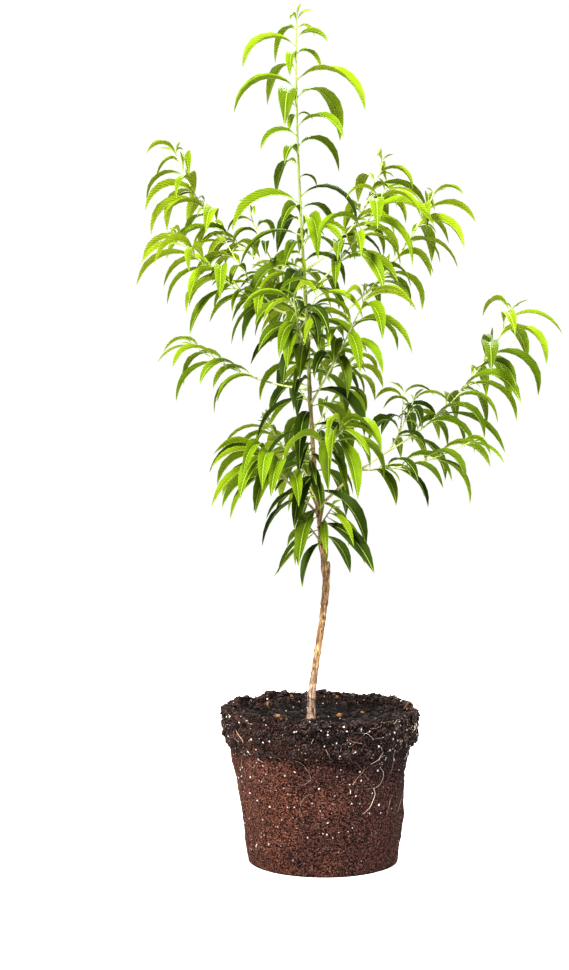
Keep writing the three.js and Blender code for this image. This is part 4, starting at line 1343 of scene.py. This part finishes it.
# %% Ball skin
ball = bmesh.new()
crumbly = ball.verts.layers.float.new("crumbly")
rows = []
for radii, heights, loose in rings:
    row = []
    for a, r, z in zip(angles, radii, heights):
        x = r * math.cos(a) + BALL["lean"] * z / BALL["height"]
        vert = ball.verts.new((x * MM, r * math.sin(a) * MM, z * MM))
        vert[crumbly] = loose
        row.append(vert)
    rows.append(row)
for lower, upper in zip(rows, rows[1:]):
    for k in range(BALL_SIDES):
        n = (k + 1) % BALL_SIDES
        ball.faces.new((lower[k], lower[n], upper[n], upper[k]))
ball.faces.new(rows[-1])
foot_centre = ball.verts.new((0, 0, 0))
for k in range(BALL_SIDES):
    ball.faces.new((rows[0][(k + 1) % BALL_SIDES], rows[0][k], foot_centre))
ball_mesh = bpy.data.meshes.new("ball_start")
ball.to_mesh(ball_mesh)
ball.free()
print("faces of the smooth ball:", len(ball_mesh.polygons))

# %% [markdown]
# The mix is black brown and moist at the collar, darker still where the soil lies sunken, and reddish
# brown below, where fine roots cover it and it has dried. Painted shade darkens its right side, and its
# warmer patches gather on the left as painted light. It could be one colour with a bump, but mix is a
# heap of separate grains. So noise at the scale of its grains, one to three millimetres, chooses between
# a dark and a light colour, and drawn out noise lays pale threads over.

# %% Soil finish
SUNKEN_RADIUS, SUNKEN_HEIGHT, SUNKEN_SHARE = (0.1, 0.118), (0.172, 0.184), 0.7
DAMP_FADE, DAMP_WANDER, RIGHT_PAINTED_SHADE = (0.108, 0.19), 0.14, 0.32
WARM_FADE, LEFT_PAINTED_LIGHT = (0.44, 0.68), 2.4
DRY_GRAIN, WET_GRAIN = (0.47, 0.555), (0.5, 0.6)
THREAD, THREAD_SHARE, THREAD_RELIEF = (0.585, 0.64), 0.85, 0.8
# the near black that the sunken soil inside the rim turns to
SUNKEN_DARK = rgb("060404")


def sunken_soil(finish):
    """1 on the level soil inside the rim, 0 on the collar and the flank."""
    flat_place = finish.place((1, 1, 0))
    from_axis = finish.node("ShaderNodeVectorMath", {"operation": "LENGTH"}, {0: flat_place}, 1)
    height = finish.height()
    return finish.ramp(from_axis, *SUNKEN_RADIUS, 1.0, 0.0) * finish.ramp(height, *SUNKEN_HEIGHT)


soil = Finish("potting_mix", roughness=0.9, specular=0.1)
across, _, height = soil.parts(soil.place())
patches = soil.noise(soil.place(), scale=16, detail=4, roughness=0.6)
grains = soil.noise(soil.place(), scale=460, roughness=0.7)
threads = soil.noise(soil.place((1, 1, 1.6)), scale=320, roughness=0.7)
# Painted shade: the moist mix reaches further up the right side. Painted light: the warmer patches lie on
# the left and fade out towards the right.
damp_and_right_shade = soil.ramp(height + (patches - 0.5) * DAMP_WANDER + across * RIGHT_PAINTED_SHADE, *DAMP_FADE)
warm_and_left_light = soil.ramp(patches - across * LEFT_PAINTED_LIGHT, *WARM_FADE)
dark_grain = soil.mix(warm_and_left_light, rgb("090403"), rgb("180a05"))
light_grain = soil.mix(warm_and_left_light, rgb("54352f"), rgb("6c4538"))
dry_mix = soil.mix(soil.ramp(grains, *DRY_GRAIN), dark_grain, light_grain)
thread = soil.mix(warm_and_left_light, rgb("7d6057"), rgb("967264"))
dry_mix = soil.mix(soil.ramp(threads, *THREAD) * THREAD_SHARE, dry_mix, thread)
wet_mix = soil.mix(soil.ramp(grains, *WET_GRAIN), rgb("030202"), rgb("4c3834"))
sunken = sunken_soil(soil) * SUNKEN_SHARE
soil.set("Base Color", soil.mix(sunken, soil.mix(damp_and_right_shade, dry_mix, wet_mix), SUNKEN_DARK))
soil.bump(grains + threads * THREAD_RELIEF, depth=0.004)
print("nodes in the soil's finish:", len(soil.tree.nodes))

# %% [markdown]
# Relief in the mesh makes the outline of the ball crumble, which a bump can't. Each scale is noise
# that moves the skin along its normal. The crumbs only move where the mix is loose, and nothing moves
# at the underside, on which the tree stands.

# %% Relief of the ball
UNDERSIDE_FREE = (0.0, 0.006)
CRUMB_LEVEL = 0.42  # noise above this moves the skin outwards, below it inwards

ball_graph = growth_graph("rough_ball", Lumps=0.0022, Crumbs=0.0038, Grains=0.001)
given = ball_graph.given
loose = ball_graph.node("GeometryNodeInputNamedAttribute", {"data_type": "FLOAT"}, {"Name": "crumbly"})
where = ball_graph.node("GeometryNodeInputPosition")
lumps = (ball_graph.noise(where, scale=55, detail=2) - 0.5) * given["Lumps"] * (1 + loose)
crumbs = (ball_graph.noise(where, scale=190, roughness=0.6) - CRUMB_LEVEL) * given["Crumbs"] * loose
grains = (ball_graph.noise(where, scale=420, detail=2, roughness=0.7) - 0.5) * given["Grains"]
free = ball_graph.ramp(ball_graph.parts(where)[2], *UNDERSIDE_FREE)
normal = ball_graph.node("GeometryNodeInputNormal")
push = ball_graph.scaled(normal, (lumps + crumbs + grains) * free * 2)
moved = ball_graph.node("GeometryNodeSetPosition", None, {0: given["Geometry"], "Offset": push})
close_graph(ball_graph, moved)
soil_ball = grow(ball_graph, ball_mesh, "soil_ball", soil.material)

# %% [markdown]
# ## Crumbs, fibres, chips and grains on the ball
#
# Loose crumbs and short fibres roughen the rim and the collar. White grains are perlite, which
# lightens the mix: they show in its flank and collar but hardly on its level top. Tan chips are
# composted bark and lie on the loosest mix. A particle system could strew all of them, but its seeds
# and sizes hide in many panels. A growth tree shows them as a few inputs: it sets one small rough lump
# on the ball at a set number for each square metre, and turns and sizes each by chance with a fixed
# seed. Its input Bare says how far level ground is kept free.

# %% Points and lumps for strewing
LEVEL_GROUND, OFF_THE_FOOT = (0.5, 0.9), (0.004, 0.012)
BULGE_SCALE, BULGE = 1.1 / 0.003, 1.7
LENGTHS, LENGTH_SEED, SPIN_SEED, TILT_SEED = (0.7, 1.5), 7, 11, 13
FULL_TURN = 6.28


def by_chance(graph, low, high, seed):
    """A number for each point, from low to high."""
    return graph.node("FunctionNodeRandomValue", {"data_type": "FLOAT"}, {2: low, 3: high, "Seed": seed}, 1)


def strewn_points(graph, threshold):
    """Points on the ball where its mix is looser than the threshold, and how each is turned."""
    given = graph.given
    loose = graph.node("GeometryNodeInputNamedAttribute", {"data_type": "FLOAT"}, {"Name": "crumbly"})
    height = graph.parts(graph.node("GeometryNodeInputPosition"))[2]
    level = graph.ramp(graph.parts(graph.node("GeometryNodeInputNormal"))[2], *LEVEL_GROUND)
    spread = graph.ramp(loose, *threshold) * given["Density"] * graph.ramp(height, *OFF_THE_FOOT)
    spread = spread * (1 - level * given["Bare"])
    inputs = {0: given["Geometry"], "Density": spread, "Seed": given["Seed"]}
    points = graph.node("GeometryNodeDistributePointsOnFaces", {"distribute_method": "RANDOM"}, inputs)
    return points, Value(graph, points.socket.node.outputs[2])


def rough_lump(graph):
    """A small sphere of few faces, pushed out of round."""
    lump = graph.node("GeometryNodeMeshIcoSphere", None, {"Radius": graph.given["Size"], "Subdivisions": 1})
    point = graph.node("GeometryNodeInputPosition")
    shaped = graph.scaled(point, graph.noise(point, BULGE_SCALE, detail=1) * BULGE)
    return graph.node("GeometryNodeSetPosition", None, {0: lump, "Position": shaped})


# %% Strewing trees
def strewing(name, threshold):
    graph = growth_graph(name, Density=1000.0, Least=0.5, Most=1.0, Size=0.003, Long=1.0, Flat=1.0,
                         Tilt=0.5, Bare=0.0, Seed=1)
    given = graph.given
    points, turned = strewn_points(graph, threshold)
    lump = rough_lump(graph)
    draw = by_chance(graph, 0.0, 1.0, given["Seed"])
    size = given["Least"] + (given["Most"] - given["Least"]) * draw * draw * draw
    length = by_chance(graph, *LENGTHS, LENGTH_SEED) * given["Long"]
    scale = graph.node("ShaderNodeCombineXYZ", None, {0: size * length, 1: size, 2: size * given["Flat"]})
    spin = by_chance(graph, 0.0, FULL_TURN, SPIN_SEED)
    tilt = by_chance(graph, -1.0, 1.0, TILT_SEED) * given["Tilt"]
    euler = graph.node("ShaderNodeCombineXYZ", None, {0: tilt, 1: tilt, 2: spin})
    turned = graph.node("FunctionNodeRotateRotation", {"rotation_space": "LOCAL"}, {0: turned, 1: euler})
    strewn = graph.node("GeometryNodeInstanceOnPoints", None, {
        "Points": points, "Instance": lump, "Rotation": turned, "Scale": scale})
    close_graph(graph, strewn)
    return graph


crumb_graph = strewing("crumbs", (0.45, 1.0))
grain_graph = strewing("grains", (0.05, 0.75))
chip_graph = strewing("chips", (0.96, 1.0))
print("nodes in a strewing tree:", len(crumb_graph.tree.nodes))

# %% Crumb, perlite and chip finishes
CRUMB_TONES, CHIP_TONES = (0.5, 0.6), (0.4, 0.6)

dark_crumb = Finish("soil_crumb", roughness=0.92, specular=0.25)
tone = dark_crumb.ramp(dark_crumb.noise(dark_crumb.place(), scale=520), *CRUMB_TONES)
crumb_colour = dark_crumb.mix(tone, rgb("020202"), rgb("4f3a34"))
sunken = sunken_soil(dark_crumb) * SUNKEN_SHARE
dark_crumb.set("Base Color", dark_crumb.mix(sunken, crumb_colour, SUNKEN_DARK))
dark_crumb.bump(dark_crumb.noise(dark_crumb.place(), scale=900), depth=0.001)

perlite = Finish("perlite", roughness=0.85, specular=0.3)
tone = perlite.noise(perlite.place(), scale=400, detail=2)
perlite.set("Base Color", perlite.mix(tone, rgb("97928d"), rgb("c0bcb7")))

chip = Finish("bark_chip", roughness=0.8, specular=0.3)
tone = chip.ramp(chip.noise(chip.place(), scale=120), *CHIP_TONES)
chip.set("Base Color", chip.mix(tone, rgb("40291a"), rgb("75552f")))
print("nodes in these finishes:", [len(f.tree.nodes) for f in (dark_crumb, perlite, chip)])

# %% Strew them over the ball
skin_mesh = soil_ball.data
grow(crumb_graph, skin_mesh.copy(), "soil_crumbs", dark_crumb.material,
     Density=28000.0, Least=0.2, Most=2.3, Size=0.0033, Flat=0.75, Seed=3)
grow(grain_graph, skin_mesh.copy(), "perlite_grains", perlite.material,
     Density=17000.0, Least=0.12, Most=1.05, Size=0.0019, Flat=0.7, Bare=0.8, Seed=5)
grow(crumb_graph, skin_mesh.copy(), "soil_fibres", dark_crumb.material,
     Density=20000.0, Least=0.5, Most=1.3, Size=0.0008, Long=8.0, Flat=0.7, Tilt=1.2, Seed=8)
grow(chip_graph, skin_mesh.copy(), "bark_chips", chip.material,
     Density=600.0, Least=0.55, Most=1.9, Size=0.0048, Long=1.5, Flat=0.26, Seed=120)

# %% [markdown]
# ## Fine roots
#
# Fine pale roots follow the skin of the ball where it met the pot, most of them near the collar, and a
# few more on the collar of one side. Painted lines would vanish at the ball's edge. So each root is a
# slow random walk over the outline, drawn by the same skin tree as the limbs.

# %% Roots on the skin of the ball
ROOTS, RIM_ROOTS, RIM_ROOT_BEARINGS = 100, 16, (-50, 30)
ROOT_STEP, ROOT_STEPS, RIM_ROOT_STEPS = 3.0, (7, 24), (5, 12)
ROOT_HEIGHTS, RIM_ROOT_HEIGHTS, ROOT_LOWEST = (84, 203), (184, 203), 8
ROOT_GIRTHS, RIM_ROOT_GIRTHS, ROOT_TIP = (0.14, 0.55), (0.25, 0.55), 0.45
ROOT_BEND, ROOT_WANDER, ROOT_PROUD = 0.06, 0.22, 0.3
ROOT_TONES = (0.4, 0.62)
draw = np.random.RandomState(41)


def on_ball(angle, height):
    """A point just on the skin, for an angle and a height."""
    spots = [(r, z) for r, z, _ in OUTLINE[:CREST_ROW + 1]]
    radius = np.interp(height, [z for _, z in spots], [r for r, _ in spots])
    x = radius * math.cos(angle) + BALL["lean"] * height / BALL["height"]
    return np.array([x, radius * math.sin(angle), height])


def wandering_root(angle, height, girth, steps):
    """A root's path over the skin: a slow random walk from here."""
    heading, bend = draw.uniform(0, 2 * math.pi), draw.normal(0, ROOT_BEND)
    points = []
    for _ in range(steps):
        points.append(on_ball(angle, height) + bearing_way(math.degrees(angle)) * (ROOT_PROUD + girth))
        angle += ROOT_STEP * math.cos(heading) / BALL["waist"]
        height = min(max(height + ROOT_STEP * math.sin(heading), ROOT_LOWEST), ROOT_HEIGHTS[1])
        heading += bend + draw.normal(0, ROOT_WANDER)
    return np.array(points), girth * np.linspace(1, ROOT_TIP, steps)


# %% Draw the roots
root_paths = []
for _ in range(ROOTS):
    angle = draw.uniform(0, 2 * math.pi)
    height = lerp(*ROOT_HEIGHTS, draw.uniform() ** 0.5)
    girth = lerp(*ROOT_GIRTHS, draw.uniform() ** 3)
    root_paths.append(wandering_root(angle, height, girth, draw.randint(*ROOT_STEPS)))
for _ in range(RIM_ROOTS):
    angle = math.radians(draw.uniform(*RIM_ROOT_BEARINGS))
    height = draw.uniform(*RIM_ROOT_HEIGHTS)
    girth = lerp(*RIM_ROOT_GIRTHS, draw.uniform())
    root_paths.append(wandering_root(angle, height, girth, draw.randint(*RIM_ROOT_STEPS)))

root_finish = Finish("fine_root", roughness=0.7, specular=0.3)
tone = root_finish.ramp(root_finish.noise(root_finish.place(), scale=30, detail=2), *ROOT_TONES)
root_finish.set("Base Color", root_finish.mix(tone, rgb("8a7260"), rgb("c9beae")))
grow(skin_graph, path_mesh("root_paths", root_paths), "fine_roots", root_finish.material,
     Sides=5, Relief=0.0, Grain=400.0, Stretch=1.0)

# %% [markdown]
# ## Hand over
#
# Every piece rides on the one body and takes the place of the solids that it was grown from. Leaves,
# ribs and buds are spread over the whole crown, so each of them stands for all masses of foliage. A
# piece for each mass would be closer to the solids, but would cut the crown into over a hundred meshes.

# %% Bodies, solids and slots
foliage_nodes = [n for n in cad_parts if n.startswith("foliage_")]
bough_nodes = [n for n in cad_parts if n.startswith("bough_")]
stands_for = {
    "trunk_bark": (["trunk", "foliage_leader"], "bark"),
    "bough_bark": (bough_nodes + foliage_nodes, "green_bark"),
    "leaves_lime": (foliage_nodes, "young_foliage"),
    "leaves_bright": (foliage_nodes, "foliage"),
    "leaves_mid": (foliage_nodes, "foliage"),
    "leaves_deep": (foliage_nodes, "foliage"),
    "leaf_ribs": (foliage_nodes, "young_foliage"),
    "axil_buds": (bough_nodes + foliage_nodes, "green_bark"),
    "soil_ball": (["root_ball"], "root_ball"),
    "soil_crumbs": (["root_ball"], "root_ball"),
    "soil_fibres": (["root_ball"], "root_ball"),
    "perlite_grains": (["root_ball"], "root_ball"),
    "bark_chips": (["root_ball"], "root_ball"),
    "fine_roots": (["root_ball"], "root_ball"),
}
for name, piece in pieces.items():
    nodes, slot = stands_for[name]
    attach(piece, "root")
    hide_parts(*nodes)
print("pieces handed over:", len(pieces))

# %% Sizes and finish
print("cad box", [round(v, 4) for v in (*cad_low, *cad_high)])
